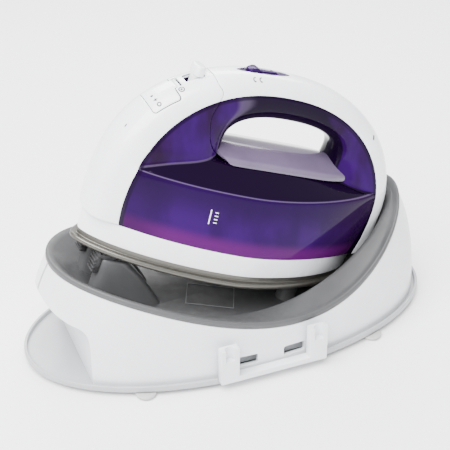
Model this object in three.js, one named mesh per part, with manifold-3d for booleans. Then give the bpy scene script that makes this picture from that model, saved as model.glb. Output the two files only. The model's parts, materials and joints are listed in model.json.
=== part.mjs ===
// Cordless steam iron with a double-pointed soleplate, parked nose-up in its charging stand.
// Row frame: +X towards the heel, -X towards the nose, +Z up, origin on the table under the stand's middle.
// Iron frame: +X along the soleplate to the heel, +Y across it, +Z square to it, origin on the sole's lower face.
import * as THREE from "three";
import { mergeVertices } from "three/addons/utils/BufferGeometryUtils.js";
import Module from "manifold-3d";

const wasm = await Module();
wasm.setup();

// ---------------------------------------------------------------- driving sizes, millimetres and degrees

const GAP = 0.3; // play between pieces that touch
const OUTLINE_STEPS = 40; // points round a long outline

// Stand
const PLATE_LENGTH = 337.6;
const PLATE_WIDTH = 173.2;
const PLATE_POWER = 2.07;
const PLATE_WALL = 2;
const LIP_TOP = 9;
const LIP_WIDTH = 2.4;
const FOOT_HEIGHT = 3.5;
const FOOT_RADIUS = 8;
const FOOT_X = 95;
const FOOT_Y = 70;
const RIM_LENGTH = 289.8;
const RIM_WIDTH = 160;
const RIM_HEIGHT = 46.8; // rim height at the middle of the stand
const RIM_SLOPE = -0.1877; // the rim's saddle: slope, square and cube terms of its height over x
const RIM_DISH = 2.35e-3;
const RIM_TWIST = 1.01e-5;
const RIM_BAND = 5; // width of the cradle's rounded rim
const SHELL_WALL = 3;
const SHELL_FOOT_INSET = 2.6; // how far the shell's foot stands in from the plate's edge
const RECESS_BACK = -130; // back wall of the open recess under the nose end
const RECESS_ROOF = 56;
const CRADLE_WALL = 3;
const POCKET_CENTRE = 6;
const POCKET_LENGTH = 266;
const POCKET_WIDTH = 104;
const POCKET_POWER = 1.95;
const POCKET_EDGE_HEIGHT = 39;
const POCKET_EDGE_DISH = 2.5e-3;
const POCKET_EDGE_TWIST = 2e-6;
const FLOOR_LENGTH = 202;
const FLOOR_WIDTH = 96;
const FLOOR_POWER = 2.1;
const FLOOR_HEIGHT = 31; // cradle floor at the middle
const FLOOR_SLOPE = -0.19;
const RAIL_FACE = 90; // outer face of the latch rails, from the middle plane
const RAIL_POSTS = [-34.5, 37.5];
const POST_WIDTH = 15;
const POST_TOP = 38;
const RAIL_TOP = 12;
const SOCKET_RADIUS = 3.6;
const SOCKET_FLOOR = 24;
const WINDOW_CENTRES = [-18, 21.5];
const WINDOW_WIDTH = 18;
const WINDOW_LOW = 12.8;
const WINDOW_HIGH = 21.5;

// Iron
const IRON_X = -11.8; // where the iron frame's origin sits in the stand
const IRON_Z = 63.45;
const IRON_PITCH = 20.94; // nose up
const SOLE_LENGTH = 246.2;
const SOLE_WIDTH = 107.2;
const SOLE_POWER = 1.64;
const SOLE_RIM = 4.1; // height of the polished edge
const SOLE_TOP = 8.2;
const GROOVE_DEPTH = 5;
const SKIRT_LOW = 8.5;
const SKIRT_HIGH = 25.5;
const SKIRT_INSET_LOW = 4;
const SKIRT_INSET_HIGH = 2.8;
const SKIRT_WALL = 2.2;
const VENT_RADIUS = 1.6;
const ARCH = { x: 2.7, z: 46.4, a: 124.8, b: 108.8, n: 2.29 }; // outer side view of the body
const GLAZE = { x: 4, z: 50, a: 106, b: 93, n: 2.2 }; // side view edge between white covers and purple body
const HOLE = { x: 14.5, z: 97.5, a: 49.5, b: 24.2, n: 2.6 }; // finger gap, side view
const RING_CENTRE = { x: 14, z: 95 };
const WAIST = 50.8; // half width of the body above the skirt
const WAIST_TAPER = 0.06;
const CREASE_HEIGHT = 72.5;
const CREASE_RISE = 8.5;
const SHOULDER_TOP = 87.2;
const SHOULDER_HALF = 27;
const GRIP_HALF = 18.7; // half width of the handle
const HEAD_HALF = 25.5; // half width of the body's upper part
const COVER_WALL = 2.6;
const TANK_WALL = 2.5;
const CORE_HALF = 18; // central column of the handle body, which the tank straddles
const CORE_FRONT = -46;
const CORE_BACK = 108;
const CORE_WALL = 2.7;
const DECK_CROWN = 96.5;
const CAP_BACK = { x: -84, z: 130.9 }; // rear edge of the filler cap on the arch
const CAP_FRONT = { x: -100.5, z: 115 };
const CAP_HALF = 17;
const LEVER_X = -68;
const LEVER_PIVOT = 124;
const LEVER_TOP = 149.5;
const LEVER_HALF = 4.8;
const TRACK_FRONT = { x: -38, z: 151.3 };
const TRACK_BACK = { x: 6, z: 154.9 };
const TRACK_HALF = 6;
const SLIDER_FRONT = -29;
const SLIDER_LENGTH = 10;
const SLIDER_TRAVEL = 16;
const INLET_X = 146;
const INLET_Y = 34;
const INLET_Z = 20;
const INLET_RADIUS = 6;
const PAD_DEPTH = 5;
const HEEL_PAD_DEPTH = 3;
const HEEL_REST_X = 62;
const HEEL_REST_Y = 24;
const POCKET_WALL_X = 131.5;
const TERMINAL_HALF = 13;
const TERMINAL_LOW = 36;
const TERMINAL_HIGH = 54;
const REST_PLAY = 0.4; // the sole stands this little above its rests
const BLADE_TIP = 128.4;
const BLADE_Y = 6;
const BLADE_THICK = 1.2;
const RING_STEPS = 32;
const RING_SIDES = 18;
const INLET_BORE = 2.6;
const ELEMENT_HEIGHT = 13;
const ELEMENT_RADIUS = 3;
const CASTING_TOP = 16;
const SHIELD_LOW = 23.5;
const THERMOSTAT_X = 34;
const VALVE_X = LEVER_X;
const GASKET_RADIUS = 5.5;
const TRACK_THICK = 2;
const DECK_HALF = 25.5;
const DECK_WALL = 2.2;
const CONTACT_HALF = 11;
const CONTACT_LOW = 34;
const CONTACT_HIGH = 56;
const CONTACT_FACE = 126.6;
const LAMP_ANGLE = 18;
const LAMP_RADIUS = 2.2;
const PIN_RADIUS = 1.5;
const CAP_PIN_RADIUS = 0.8;
const CAP_KNUCKLE_RADIUS = 1.6;
const CAP_KNUCKLE_HALF = 7;
const CAP_PIN_HALF = 10;
const CAP_TONGUE = 3; // how far the cap's hinge lies behind its rear edge
const CAP_PIN_DEPTH = 2.6;
const CAP_SEAM = 0.8; // open seam round the cap
const LEVER_ROOM = 8.4; // from the lever's middle to the front of its slot
const SLOT_PLAY = 0.7;
const PIN_HALF = 8.5;
const VALVE_WELL = 4.5;
const VALVE_SEAT_TOP = 36;
const COLLAR_HEIGHT = 52;
const SPRING_TOP = 84;
const SPRING_RADIUS = 3.1;
const SPRING_WIRE = 0.5;
const ROD_RADIUS = SPRING_RADIUS - SPRING_WIRE - 2 * GAP; // the spring is wound clear of the rod

// ---------------------------------------------------------------- shapes

const V3 = (x, y, z) => new THREE.Vector3(x, y, z);
const V2 = (x, y) => new THREE.Vector2(x, y);
const power = (value, exponent) => Math.sign(value) * Math.abs(value) ** exponent;
const ramp = (value, low, high) => THREE.MathUtils.clamp((value - low) / (high - low), 0, 1);

// A closed mesh made into a solid with its faces pointing out.
function solid(geometry) {
  const bare = geometry.clone();
  bare.deleteAttribute("normal");
  bare.deleteAttribute("uv");
  const merged = mergeVertices(bare, 1e-4);
  const triVerts = new Uint32Array(merged.index.array);
  const make = () =>
    new wasm.Manifold(
      new wasm.Mesh({ numProp: 3, vertProperties: merged.attributes.position.array, triVerts }),
    );
  const made = make();
  if (made.volume() > 0) return made;
  for (let i = 0; i < triVerts.length; i += 3) {
    [triVerts[i + 1], triVerts[i + 2]] = [triVerts[i + 2], triVerts[i + 1]];
  }
  return make();
}

function geometryOf(body) {
  const mesh = body.getMesh();
  const geometry = new THREE.BufferGeometry();
  geometry.setAttribute("position", new THREE.BufferAttribute(new Float32Array(mesh.vertProperties), 3));
  geometry.setIndex(new THREE.BufferAttribute(new Uint32Array(mesh.triVerts), 1));
  return geometry;
}

const cut = (body, ...tools) => tools.reduce((left, tool) => left.subtract(tool), body);
const join = (body, ...others) => others.reduce((sum, other) => sum.add(other), body);

// Skin over rings of equal point count, closed by a fan at each end, or joined end to start.
function loft(rings, endless = false) {
  const count = rings[0].length;
  const points = rings.flat();
  const index = [];
  const bands = endless ? rings.length : rings.length - 1;
  for (let i = 0; i < bands; i++) {
    const low = i * count;
    const high = ((i + 1) % rings.length) * count;
    for (let j = 0; j < count; j++) {
      const k = (j + 1) % count;
      index.push(low + j, low + k, high + k, low + j, high + k, high + j);
    }
  }
  if (!endless) {
    for (const [first, turned] of [[0, true], [(rings.length - 1) * count, false]]) {
      const middle = V3(0, 0, 0);
      for (let j = 0; j < count; j++) middle.addScaledVector(points[first + j], 1 / count);
      const hub = points.push(middle) - 1;
      for (let j = 0; j < count; j++) {
        const k = (j + 1) % count;
        index.push(hub, first + (turned ? k : j), first + (turned ? j : k));
      }
    }
  }
  const geometry = new THREE.BufferGeometry();
  const flat = points.flatMap((p) => [p.x, p.y, p.z]);
  geometry.setAttribute("position", new THREE.Float32BufferAttribute(flat, 3));
  geometry.setIndex(index);
  return solid(geometry);
}

// Closed outline |x/a|^n + |y/b|^n = 1 round a centre, at a height that may follow x.
function outline({ x = 0, a, b, n, z }, steps = OUTLINE_STEPS) {
  const ring = [];
  for (let i = 0; i < steps; i++) {
    const turn = (i / steps) * 2 * Math.PI;
    const px = x + a * power(Math.cos(turn), 2 / n);
    const py = b * power(Math.sin(turn), 2 / n);
    ring.push(V3(px, py, typeof z === "function" ? z(px) : z));
  }
  return ring;
}

const inset = (shape, by) => ({ ...shape, a: shape.a - by, b: shape.b - by });

// Straight solid across the iron or stand from a side view of points (x, z).
function prism(points, half) {
  const geometry = new THREE.ExtrudeGeometry(new THREE.Shape(points), { depth: 2 * half, bevelEnabled: false });
  geometry.rotateX(Math.PI / 2).translate(0, half, 0);
  return solid(geometry);
}

const sideView = (curve, by, steps = 44) => {
  const points = [];
  for (let i = 0; i < steps; i++) {
    const turn = (i / steps) * 2 * Math.PI;
    const px = curve.x + (curve.a + by) * power(Math.cos(turn), 2 / curve.n);
    const pz = curve.z + (curve.b + by) * power(Math.sin(turn), 2 / curve.n);
    points.push(V2(px, pz));
  }
  return points;
};

function box(low, high) {
  const size = V3(...high).sub(V3(...low));
  const middle = V3(...low).addScaledVector(size, 0.5);
  return solid(new THREE.BoxGeometry(size.x, size.y, size.z).translate(middle.x, middle.y, middle.z));
}

function upright(radius, x, y, low, high, sides = 16, topRadius = radius) {
  const geometry = new THREE.CylinderGeometry(topRadius, radius, high - low, sides);
  return solid(geometry.rotateX(Math.PI / 2).translate(x, y, (low + high) / 2));
}

function crosswise(radius, x, z, half, sides = 16) {
  return solid(new THREE.CylinderGeometry(radius, radius, 2 * half, sides).translate(x, 0, z));
}

// Box on a slope from one side-view point to another: along it, across it, and above and below it.
function slopeBox(from, to, half, above, below, grow = 0) {
  const run = V2(to.x - from.x, to.z - from.z);
  const length = run.length() + 2 * grow;
  const geometry = new THREE.BoxGeometry(length, 2 * (half + grow), above + below);
  geometry.translate(0, 0, (above - below) / 2);
  geometry.rotateY(-Math.atan2(run.y, run.x));
  geometry.translate((from.x + to.x) / 2, 0, (from.z + to.z) / 2);
  return solid(geometry);
}

function tube(points, radius, sides, steps, closed = false) {
  const section = new THREE.Shape();
  section.absarc(0, 0, radius, 0, 2 * Math.PI);
  const path = new THREE.CatmullRomCurve3(points, closed, "centripetal");
  const settings = { steps, extrudePath: path, bevelEnabled: false, curveSegments: sides / 2 };
  return solid(new THREE.ExtrudeGeometry(section, settings));
}

// ---------------------------------------------------------------- materials

const finish = (color, roughness, metalness = 0) =>
  new THREE.MeshStandardMaterial({ color, roughness, metalness });
const WHITE = finish(0xeef1f5, 0.22);
const PURPLE = finish(0x3f1a72, 0.12);
const LILAC = finish(0x968aa5, 0.25);
const CRADLE_GREY = finish(0x7f8184, 0.5);
const PAD_BLACK = finish(0x161617, 0.7);
const SOLE_METAL = finish(0xcdc3b6, 0.25, 0.9);
const CAST_METAL = finish(0x8c8a86, 0.5, 0.9);
const STEEL = finish(0xb5b7ba, 0.3, 1);
const COPPER = finish(0xb98a4a, 0.3, 1);
const INNER_PLASTIC = finish(0x2b2b2e, 0.6);
const BOARD_GREEN = finish(0x245a38, 0.5);
const LAMP_RED = finish(0xb3261e, 0.2);

const part = new THREE.Group();
const iron = new THREE.Group();
iron.position.set(IRON_X, 0, IRON_Z);
iron.rotation.y = THREE.MathUtils.degToRad(IRON_PITCH);
part.add(iron);

function add(group, name, body, material) {
  const mesh = new THREE.Mesh(geometryOf(body), material);
  mesh.name = name;
  group.add(mesh);
}

// Moves a solid drawn in the iron frame into the row frame.
function parked(body) {
  iron.updateMatrix();
  return solid(geometryOf(body).applyMatrix4(iron.matrix));
}

// ---------------------------------------------------------------- stand

const plateBottom = FOOT_HEIGHT;
const plateTop = plateBottom + PLATE_WALL;
const plateEdge = { a: PLATE_LENGTH / 2, b: PLATE_WIDTH / 2, n: PLATE_POWER };
const rimHeight = (x) => RIM_HEIGHT + RIM_SLOPE * x + RIM_DISH * x ** 2 + RIM_TWIST * x ** 3;
const rimEdge = { a: RIM_LENGTH / 2, b: RIM_WIDTH / 2, n: 2.05, z: rimHeight };
const pocketHeight = (x) => POCKET_EDGE_HEIGHT + POCKET_EDGE_DISH * x ** 2 + POCKET_EDGE_TWIST * x ** 3;
const floorHeight = (x) => FLOOR_HEIGHT + FLOOR_SLOPE * x;
const shellFoot = plateTop + GAP;
const footEdge = inset(plateEdge, LIP_WIDTH + SHELL_FOOT_INSET);

function makeBasePlate() {
  const rings = [
    outline({ ...inset(plateEdge, 1.2), z: plateBottom }),
    outline({ ...plateEdge, z: plateBottom + 1.2 }),
    outline({ ...plateEdge, z: LIP_TOP - 1 }),
    outline({ ...inset(plateEdge, 0.8), z: LIP_TOP }),
    outline({ ...inset(plateEdge, LIP_WIDTH), z: LIP_TOP - 0.4 }),
    outline({ ...inset(plateEdge, LIP_WIDTH), z: plateTop }),
  ];
  const rails = railSlots();
  const screwHoles = screwPlaces().map(([x, y]) => upright(2.2, x, y, 0, LIP_TOP, 12));
  return cut(loft(rings), rails, ...screwHoles);
}

// Room for the latch rails at the plate's edge.
function railSlots() {
  const reach = RAIL_POSTS[1] + POST_WIDTH / 2 + GAP;
  const start = RAIL_POSTS[0] - POST_WIDTH / 2 - GAP;
  const inner = RAIL_FACE - 7;
  const near = box([start, -RAIL_FACE - 5, 0], [reach, -inner + GAP, 60]);
  return join(near, box([start, inner - GAP, 0], [reach, RAIL_FACE + 5, 60]));
}

function screwPlaces() {
  return [[-105, -38], [-105, 38], [118, -30], [118, 30]];
}

// Outer surface of the shell between its foot and the rim; it stays full and turns in near the top.
function shellRing(share, by) {
  const foot = outline(inset(footEdge, by));
  const top = outline(inset(rimEdge, by));
  return foot.map((low, i) => {
    const high = top[i];
    const lean = share ** 3 * 0.75 + share * 0.25;
    const x = THREE.MathUtils.lerp(low.x, high.x, lean);
    const y = THREE.MathUtils.lerp(low.y, high.y, lean);
    const crest = rimHeight(high.x) - RIM_BAND - GAP;
    return V3(x, y, THREE.MathUtils.lerp(shellFoot, crest, share));
  });
}

function recessTool(grow) {
  const back = RECESS_BACK + grow;
  const roof = RECESS_ROOF + grow;
  const far = -PLATE_LENGTH;
  const corner = [];
  for (let i = 0; i <= 6; i++) {
    const turn = (i / 6) * (Math.PI / 2);
    corner.push(V2(back - 12 + 12 * Math.cos(turn), roof - 12 + 12 * Math.sin(turn)));
  }
  const swell = [V2(-150 + grow, roof + 5), V2(-158 + grow / 2, roof + 15), V2(far, roof + 60)];
  return prism([V2(far, 0), V2(back, 0), ...corner, ...swell], PLATE_WIDTH);
}

function makeBaseShell() {
  const shares = [0, 0.2, 0.4, 0.6, 0.8, 0.92, 1];
  const ledge = shellRing(1, 2 * SHELL_WALL);
  const outer = loft([...shares.map((share) => shellRing(share, 0)), ledge]);
  const mouth = shellRing(1, SHELL_WALL).map((p) => V3(p.x, p.y, p.z + RIM_BAND));
  const inner = loft([...[-0.2, ...shares.slice(1)].map((share) => shellRing(share, SHELL_WALL)), mouth]);
  const hollow = cut(inner, recessTool(SHELL_WALL));
  const body = cut(outer, recessTool(0), hollow);
  const windows = [];
  for (const side of [-1, 1]) {
    for (const x of WINDOW_CENTRES) {
      const low = [x - WINDOW_WIDTH / 2, side < 0 ? -PLATE_WIDTH : 60, WINDOW_LOW];
      const high = [x + WINDOW_WIDTH / 2, side < 0 ? -60 : PLATE_WIDTH, WINDOW_HIGH];
      windows.push(box(low, high));
    }
  }
  const inlet = solid(
    new THREE.CylinderGeometry(INLET_RADIUS + GAP, INLET_RADIUS + GAP, 60, 16)
      .rotateZ(Math.PI / 2)
      .translate(INLET_X, INLET_Y, INLET_Z),
  );
  return cut(body, ...windows, railPockets(), inlet);
}

// The rails' posts sit in shallow pockets of the shell's side.
function railPockets() {
  return join(railShape(-1, GAP), railShape(1, GAP));
}

// Straight latch rail: a low bar with two posts, each with a round socket in its top.
function railShape(side, grow) {
  const face = RAIL_FACE + grow;
  const back = RAIL_FACE - 7 - grow;
  const slab = (x0, x1, z0, z1) =>
    box(
      [x0 - grow, side < 0 ? -face : back, z0 - grow],
      [x1 + grow, side < 0 ? -back : face, z1 + grow],
    );
  const half = POST_WIDTH / 2;
  const bar = slab(RAIL_POSTS[0] - half, RAIL_POSTS[1] + half, plateBottom, RAIL_TOP);
  const posts = RAIL_POSTS.map((x) => slab(x - half, x + half, plateBottom, POST_TOP));
  return join(bar, ...posts);
}

function makeRail(side) {
  const sockets = RAIL_POSTS.map((x) =>
    upright(SOCKET_RADIUS, x, side * (RAIL_FACE - 1), SOCKET_FLOOR, POST_TOP + 5, 16),
  );
  return cut(railShape(side, 0), ...sockets);
}

function makeCradle() {
  const pocketEdge = { x: POCKET_CENTRE, a: POCKET_LENGTH / 2, b: POCKET_WIDTH / 2, n: POCKET_POWER };
  const floorEdge = { x: POCKET_CENTRE, a: FLOOR_LENGTH / 2, b: FLOOR_WIDTH / 2, n: FLOOR_POWER };
  const down = (height, by) => (x) => height(x) - by;
  const wall = CRADLE_WALL;
  const rings = [
    outline({ ...inset(floorEdge, 6), z: down(floorHeight, 0) }),
    outline({ ...floorEdge, z: down(floorHeight, -2) }),
    outline({ ...inset(pocketEdge, 1), z: down(pocketHeight, 1.5) }),
    outline({ ...inset(pocketEdge, -2), z: down(pocketHeight, 0) }),
    outline({ ...inset(rimEdge, RIM_BAND), z: down(rimHeight, 1) }),
    outline({ ...inset(rimEdge, 2), z: rimHeight }),
    outline({ ...rimEdge, z: down(rimHeight, 2) }),
    outline({ ...rimEdge, z: down(rimHeight, RIM_BAND) }),
    outline({ ...inset(rimEdge, SHELL_WALL + GAP), z: down(rimHeight, RIM_BAND) }),
    outline({ ...inset(rimEdge, SHELL_WALL + GAP), z: down(rimHeight, 2 * RIM_BAND) }),
    outline({ ...inset(rimEdge, SHELL_WALL + wall + GAP), z: down(rimHeight, 2 * RIM_BAND) }),
    outline({ ...inset(pocketEdge, -wall), z: down(pocketHeight, wall + 1) }),
    outline({ ...inset(floorEdge, -wall), z: down(floorHeight, wall) }),
    outline({ ...inset(floorEdge, 3), z: down(floorHeight, wall) }),
  ];
  const bowl = loft(rings);
  const humpRing = (front, back, half, z) =>
    outline({ x: (front + back) / 2, a: (back - front) / 2, b: half, n: 3.4, z }, 28);
  const hump = parked(
    loft([
      humpRing(-109, -66, 36, -49),
      humpRing(-109, -72, 30, -24),
      humpRing(-106, -77, 24, -9),
      humpRing(-104, -79, 22, -PAD_DEPTH - GAP),
    ]),
  );
  const posts = [-1, 1].map((side) =>
    parked(upright(8, HEEL_REST_X, side * HEEL_REST_Y, -21, -HEEL_PAD_DEPTH - GAP, 20, 6.5)),
  );
  const window = parked(
    box(
      [POCKET_WALL_X - 8, -TERMINAL_HALF - GAP, TERMINAL_LOW - GAP],
      [POCKET_WALL_X + 14, TERMINAL_HALF + GAP, TERMINAL_HIGH + GAP],
    ),
  );
  return cut(join(bowl, hump, ...posts), window);
}

function makeFrontPad() {
  const body = box([-105, -21, -PAD_DEPTH], [-91, 21, -REST_PLAY]);
  const ribs = [];
  for (let x = -103; x < -92; x += 2.8) ribs.push(box([x, -25, -1.8], [x + 1.2, 25, 1]));
  return parked(cut(body, ...ribs));
}

function makeHeelPad(side) {
  return parked(upright(6, HEEL_REST_X, side * HEEL_REST_Y, -HEEL_PAD_DEPTH, -REST_PLAY, 20, 5.2));
}

function makeTerminalBlock() {
  const body = box([POCKET_WALL_X - 1, -TERMINAL_HALF, TERMINAL_LOW], [POCKET_WALL_X + 10, TERMINAL_HALF, TERMINAL_HIGH]);
  const seats = [-1, 1].map((side) => bladeShape(side, GAP));
  const leadHole = solid(
    new THREE.CylinderGeometry(2.4, 2.4, 12, 12).rotateZ(Math.PI / 2).translate(POCKET_WALL_X + 10, 0, 40),
  );
  return parked(cut(body, ...seats, leadHole));
}

// Springy contact blade: a bent strip, its tails in the terminal block and its nose towards the iron's heel.
function bladeShape(side, grow) {
  const root = POCKET_WALL_X - 1.4;
  const low = TERMINAL_LOW + 4;
  const high = TERMINAL_LOW + 14;
  const middle = (low + high) / 2;
  const points = [
    V2(root + 6 + grow, low - grow),
    V2(root + 6 + grow, low + BLADE_THICK + grow),
    V2(root, low + BLADE_THICK + grow),
    V2(BLADE_TIP + BLADE_THICK, middle),
    V2(root, high - BLADE_THICK - grow),
    V2(root + 6 + grow, high - BLADE_THICK - grow),
    V2(root + 6 + grow, high + grow),
    V2(root - 1, high + grow),
    V2(BLADE_TIP, middle),
    V2(root - 1, low - grow),
  ];
  return solid(geometryOf(prism(points, 2.5 + grow)).translate(0, side * BLADE_Y, 0));
}

function makeInlet() {
  const rings = [
    [INLET_X - 8, INLET_RADIUS],
    [INLET_X - 3, INLET_RADIUS],
    [INLET_X - 3, INLET_RADIUS - 1],
    [INLET_X + 2, INLET_RADIUS - 1],
    [INLET_X + 12, INLET_RADIUS - 2.5],
  ];
  const profile = [V2(INLET_BORE, rings[0][0]), ...rings.map(([x, r]) => V2(r, x)), V2(INLET_BORE, INLET_X + 12)];
  const geometry = new THREE.LatheGeometry([...profile, profile[0]], 20);
  return solid(geometry.rotateZ(-Math.PI / 2).translate(0, INLET_Y, INLET_Z));
}

function makeStandLead() {
  const route = [
    V3(INLET_X - 9, INLET_Y, INLET_Z),
    V3(INLET_X - 14, INLET_Y - 1, INLET_Z + 1),
    V3(INLET_X - 14, INLET_Y - 12, INLET_Z + 8),
    V3(INLET_X - 8, INLET_Y - 26, INLET_Z + 18),
    V3(INLET_X + 1, 4, 48),
    V3(INLET_X - 4, 0, 53),
  ];
  return tube(route, 2, 8, 20);
}

function makeFoot(x, y) {
  const bevel = 1.4;
  const profile = [
    V2(0, 0),
    V2(FOOT_RADIUS - bevel, 0),
    V2(FOOT_RADIUS, bevel),
    V2(FOOT_RADIUS, plateBottom - GAP),
    V2(0, plateBottom - GAP),
  ];
  return solid(new THREE.LatheGeometry(profile, 20).rotateX(Math.PI / 2).translate(x, y, 0));
}

// Cross-head screw from below: head in its counterbore, shank up into the shell's boss.
function makeScrew(x, y, low, length, headRadius, shankRadius) {
  const head = upright(headRadius, x, y, low, low + 1.6, 14);
  const shank = upright(shankRadius, x, y, low, low + length, 10);
  const slot = headRadius * 0.6;
  const cross = join(
    box([x - slot, y - 0.4, low - 1], [x + slot, y + 0.4, low + 0.8]),
    box([x - 0.4, y - slot, low - 1], [x + 0.4, y + slot, low + 0.8]),
  );
  return cut(join(head, shank), cross);
}

// ---------------------------------------------------------------- iron body surfaces

const reach = (curve, x, z, by) =>
  Math.abs((x - curve.x) / (curve.a + by)) ** curve.n + Math.abs((z - curve.z) / (curve.b + by)) ** curve.n;

// Distance from the ring's centre to a side-view curve along one direction.
function rayLength(curve, turn, by) {
  let near = 0;
  let far = 200;
  for (let i = 0; i < 40; i++) {
    const middle = (near + far) / 2;
    const x = RING_CENTRE.x + middle * Math.cos(turn);
    const z = RING_CENTRE.z + middle * Math.sin(turn);
    if (reach(curve, x, z, by) < 1) near = middle;
    else far = middle;
  }
  return near;
}

const archHalfLength = (z, by) =>
  (ARCH.a - by) * (1 - Math.abs((z - ARCH.z) / (ARCH.b - by)) ** ARCH.n) ** (1 / ARCH.n);
const creaseHeight = (x) => CREASE_HEIGHT + CREASE_RISE * Math.max(0, (x + 10) / 103) ** 1.5;

// The wide lower body: side walls up to the crease, then a sloping shoulder under the handle.
function lowerBody(by, bottom) {
  const ring = (z, roundness) => {
    const half = WAIST - WAIST_TAPER * (z - SKIRT_HIGH) - by;
    return outline({ x: ARCH.x, a: archHalfLength(z, by), b: half, n: roundness, z });
  };
  const rings = [bottom, 34, 46, 60].map((z) => ring(z, 1.64 + 0.36 * ramp(z, SKIRT_HIGH, CREASE_HEIGHT)));
  const crease = ring(CREASE_HEIGHT, 2).map((p) => V3(p.x, p.y, creaseHeight(p.x) - by * 0.4));
  rings.push(crease);
  const squeeze = (SHOULDER_HALF - by) / (WAIST - WAIST_TAPER * (CREASE_HEIGHT - SKIRT_HIGH) - by);
  rings.push(crease.map((p) => V3(ARCH.x + (p.x - ARCH.x) * 0.84, p.y * squeeze, SHOULDER_TOP - by)));
  return loft(rings);
}

// The upper body: nose head, handle and heel as one rounded ring round the finger gap.
function upperBody(by) {
  const rings = [];
  const first = THREE.MathUtils.degToRad(-38);
  const last = THREE.MathUtils.degToRad(212);
  for (let i = 0; i <= RING_STEPS; i++) {
    const turn = THREE.MathUtils.lerp(first, last, i / RING_STEPS);
    const outer = rayLength(ARCH, turn, -by);
    const inner = rayLength(HOLE, turn, by);
    const middle = (outer + inner) / 2;
    const deep = (outer - inner) / 2;
    const centreHeight = RING_CENTRE.z + middle * Math.sin(turn);
    const half = THREE.MathUtils.lerp(HEAD_HALF, GRIP_HALF, ramp(centreHeight, 88, 138)) - by;
    const roundness = 2.2 + 0.9 * ramp(deep, 14.5, 36);
    const ring = [];
    for (let j = 0; j < RING_SIDES; j++) {
      const side = (j / RING_SIDES) * 2 * Math.PI;
      const radius = middle + deep * power(Math.cos(side), 2 / roundness);
      const y = half * power(Math.sin(side), 2 / roundness);
      ring.push(V3(RING_CENTRE.x + radius * Math.cos(turn), y, RING_CENTRE.z + radius * Math.sin(turn)));
    }
    rings.push(ring);
  }
  return loft(rings);
}

const bodyBottom = SKIRT_HIGH + GAP;
const body = (by, bottom = bodyBottom) => join(lowerBody(by, bottom), upperBody(by));
const trim = box([-200, -100, bodyBottom], [200, 100, 300]);
const outerBody = body(0).intersect(trim);
const underCover = body(COVER_WALL).intersect(trim); // inner face of the white covers
const underSkin = body(COVER_WALL + GAP).intersect(trim); // what fills the covers from inside
const glaze = (by) => prism(sideView(GLAZE, by), 100);
const glazeIn = glaze(-GAP / 2);
const glazeOut = glaze(GAP / 2);

// Side view of the joint between the tank and the handle body, from the heel round to the top of the head.
const jointLine = [
  V2(GLAZE.x + GLAZE.a + 0.6, bodyBottom - 5),
  V2(GLAZE.x + GLAZE.a + 0.6, 82),
  V2(91, 82),
  V2(60, SHOULDER_TOP),
  V2(-29, SHOULDER_TOP),
  V2(-43, 93),
  V2(-51, 102.5),
  V2(-55.5, 118),
  V2(-53, 130),
  V2(-52, 138),
  V2(-58, 147),
  V2(-62, 175),
];
const tankSide = prism([...jointLine, V2(-160, 175), V2(-160, bodyBottom - 5)], 100);
const handleLine = jointLine.map((p, i) => V2(p.x + (i < 3 ? GAP : 0.35), p.y + (i < 2 ? 0 : GAP)));
const handleSide = prism([...handleLine.reverse(), V2(160, bodyBottom - 5), V2(160, 175)], 100);

// Slot the tank leaves for the handle body's central column, open to the heel.
const coreSlot = (grow) =>
  box([CORE_FRONT - grow, -CORE_HALF - grow, 0], [200, CORE_HALF + grow, SHOULDER_TOP + 5]);
const coreColumn = () =>
  join(
    box([CORE_FRONT, -CORE_HALF, bodyBottom], [HOLE.x + HOLE.a, CORE_HALF, SHOULDER_TOP + 1.2]),
    box([HOLE.x, -CORE_HALF, bodyBottom], [CORE_BACK + 6, CORE_HALF, SHOULDER_TOP + 1.2]).intersect(underSkin),
  );
const heelZone = box([60, -100, 0], [200, 100, 100]);
const noseZone = box([-200, -100, 0], [0, 100, 200]);

// Drops the hair-thin leftovers of a cut and keeps the piece itself.
const piece = (item) =>
  item.decompose().reduce((best, next) => (next.volume() > best.volume() ? next : best));

// ---------------------------------------------------------------- sole and heater

const soleEdge = { a: SOLE_LENGTH / 2, b: SOLE_WIDTH / 2, n: SOLE_POWER };
const skirtTopEdge = inset(soleEdge, SKIRT_INSET_HIGH);

function makeSoleplate() {
  const item = loft([
    outline({ ...inset(soleEdge, 1.4), z: 0 }),
    outline({ ...soleEdge, z: 1.1 }),
    outline({ ...soleEdge, z: SOLE_RIM - 0.9 }),
    outline({ ...inset(soleEdge, 1), z: SOLE_RIM }),
    outline({ ...inset(soleEdge, GROOVE_DEPTH), z: SOLE_RIM }),
    outline({ ...inset(soleEdge, GROOVE_DEPTH), z: SOLE_TOP }),
  ]);
  const vents = [];
  for (const x of [-96, -84, -72, -60, -48, -36, 72, 84]) {
    const spread = 0.62 * soleEdge.b * (1 - Math.abs(x / soleEdge.a) ** SOLE_POWER) ** (1 / SOLE_POWER);
    vents.push(upright(VENT_RADIUS, x, spread, -1, 2.4, 6), upright(VENT_RADIUS, x, -spread, -1, 2.4, 6));
  }
  return cut(item, ...vents);
}

function makeSkirt() {
  const low = inset(soleEdge, SKIRT_INSET_LOW);
  const rings = [
    outline({ ...low, z: SKIRT_LOW }),
    outline({ ...inset(low, -0.5), z: (SKIRT_LOW + SKIRT_HIGH) / 2 }),
    outline({ ...skirtTopEdge, z: SKIRT_HIGH }),
    outline({ ...inset(skirtTopEdge, SKIRT_WALL), z: SKIRT_HIGH }),
    outline({ ...inset(low, SKIRT_WALL), z: SKIRT_LOW }),
  ];
  return loft(rings, true);
}

const castingEdge = inset(soleEdge, 15);
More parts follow.
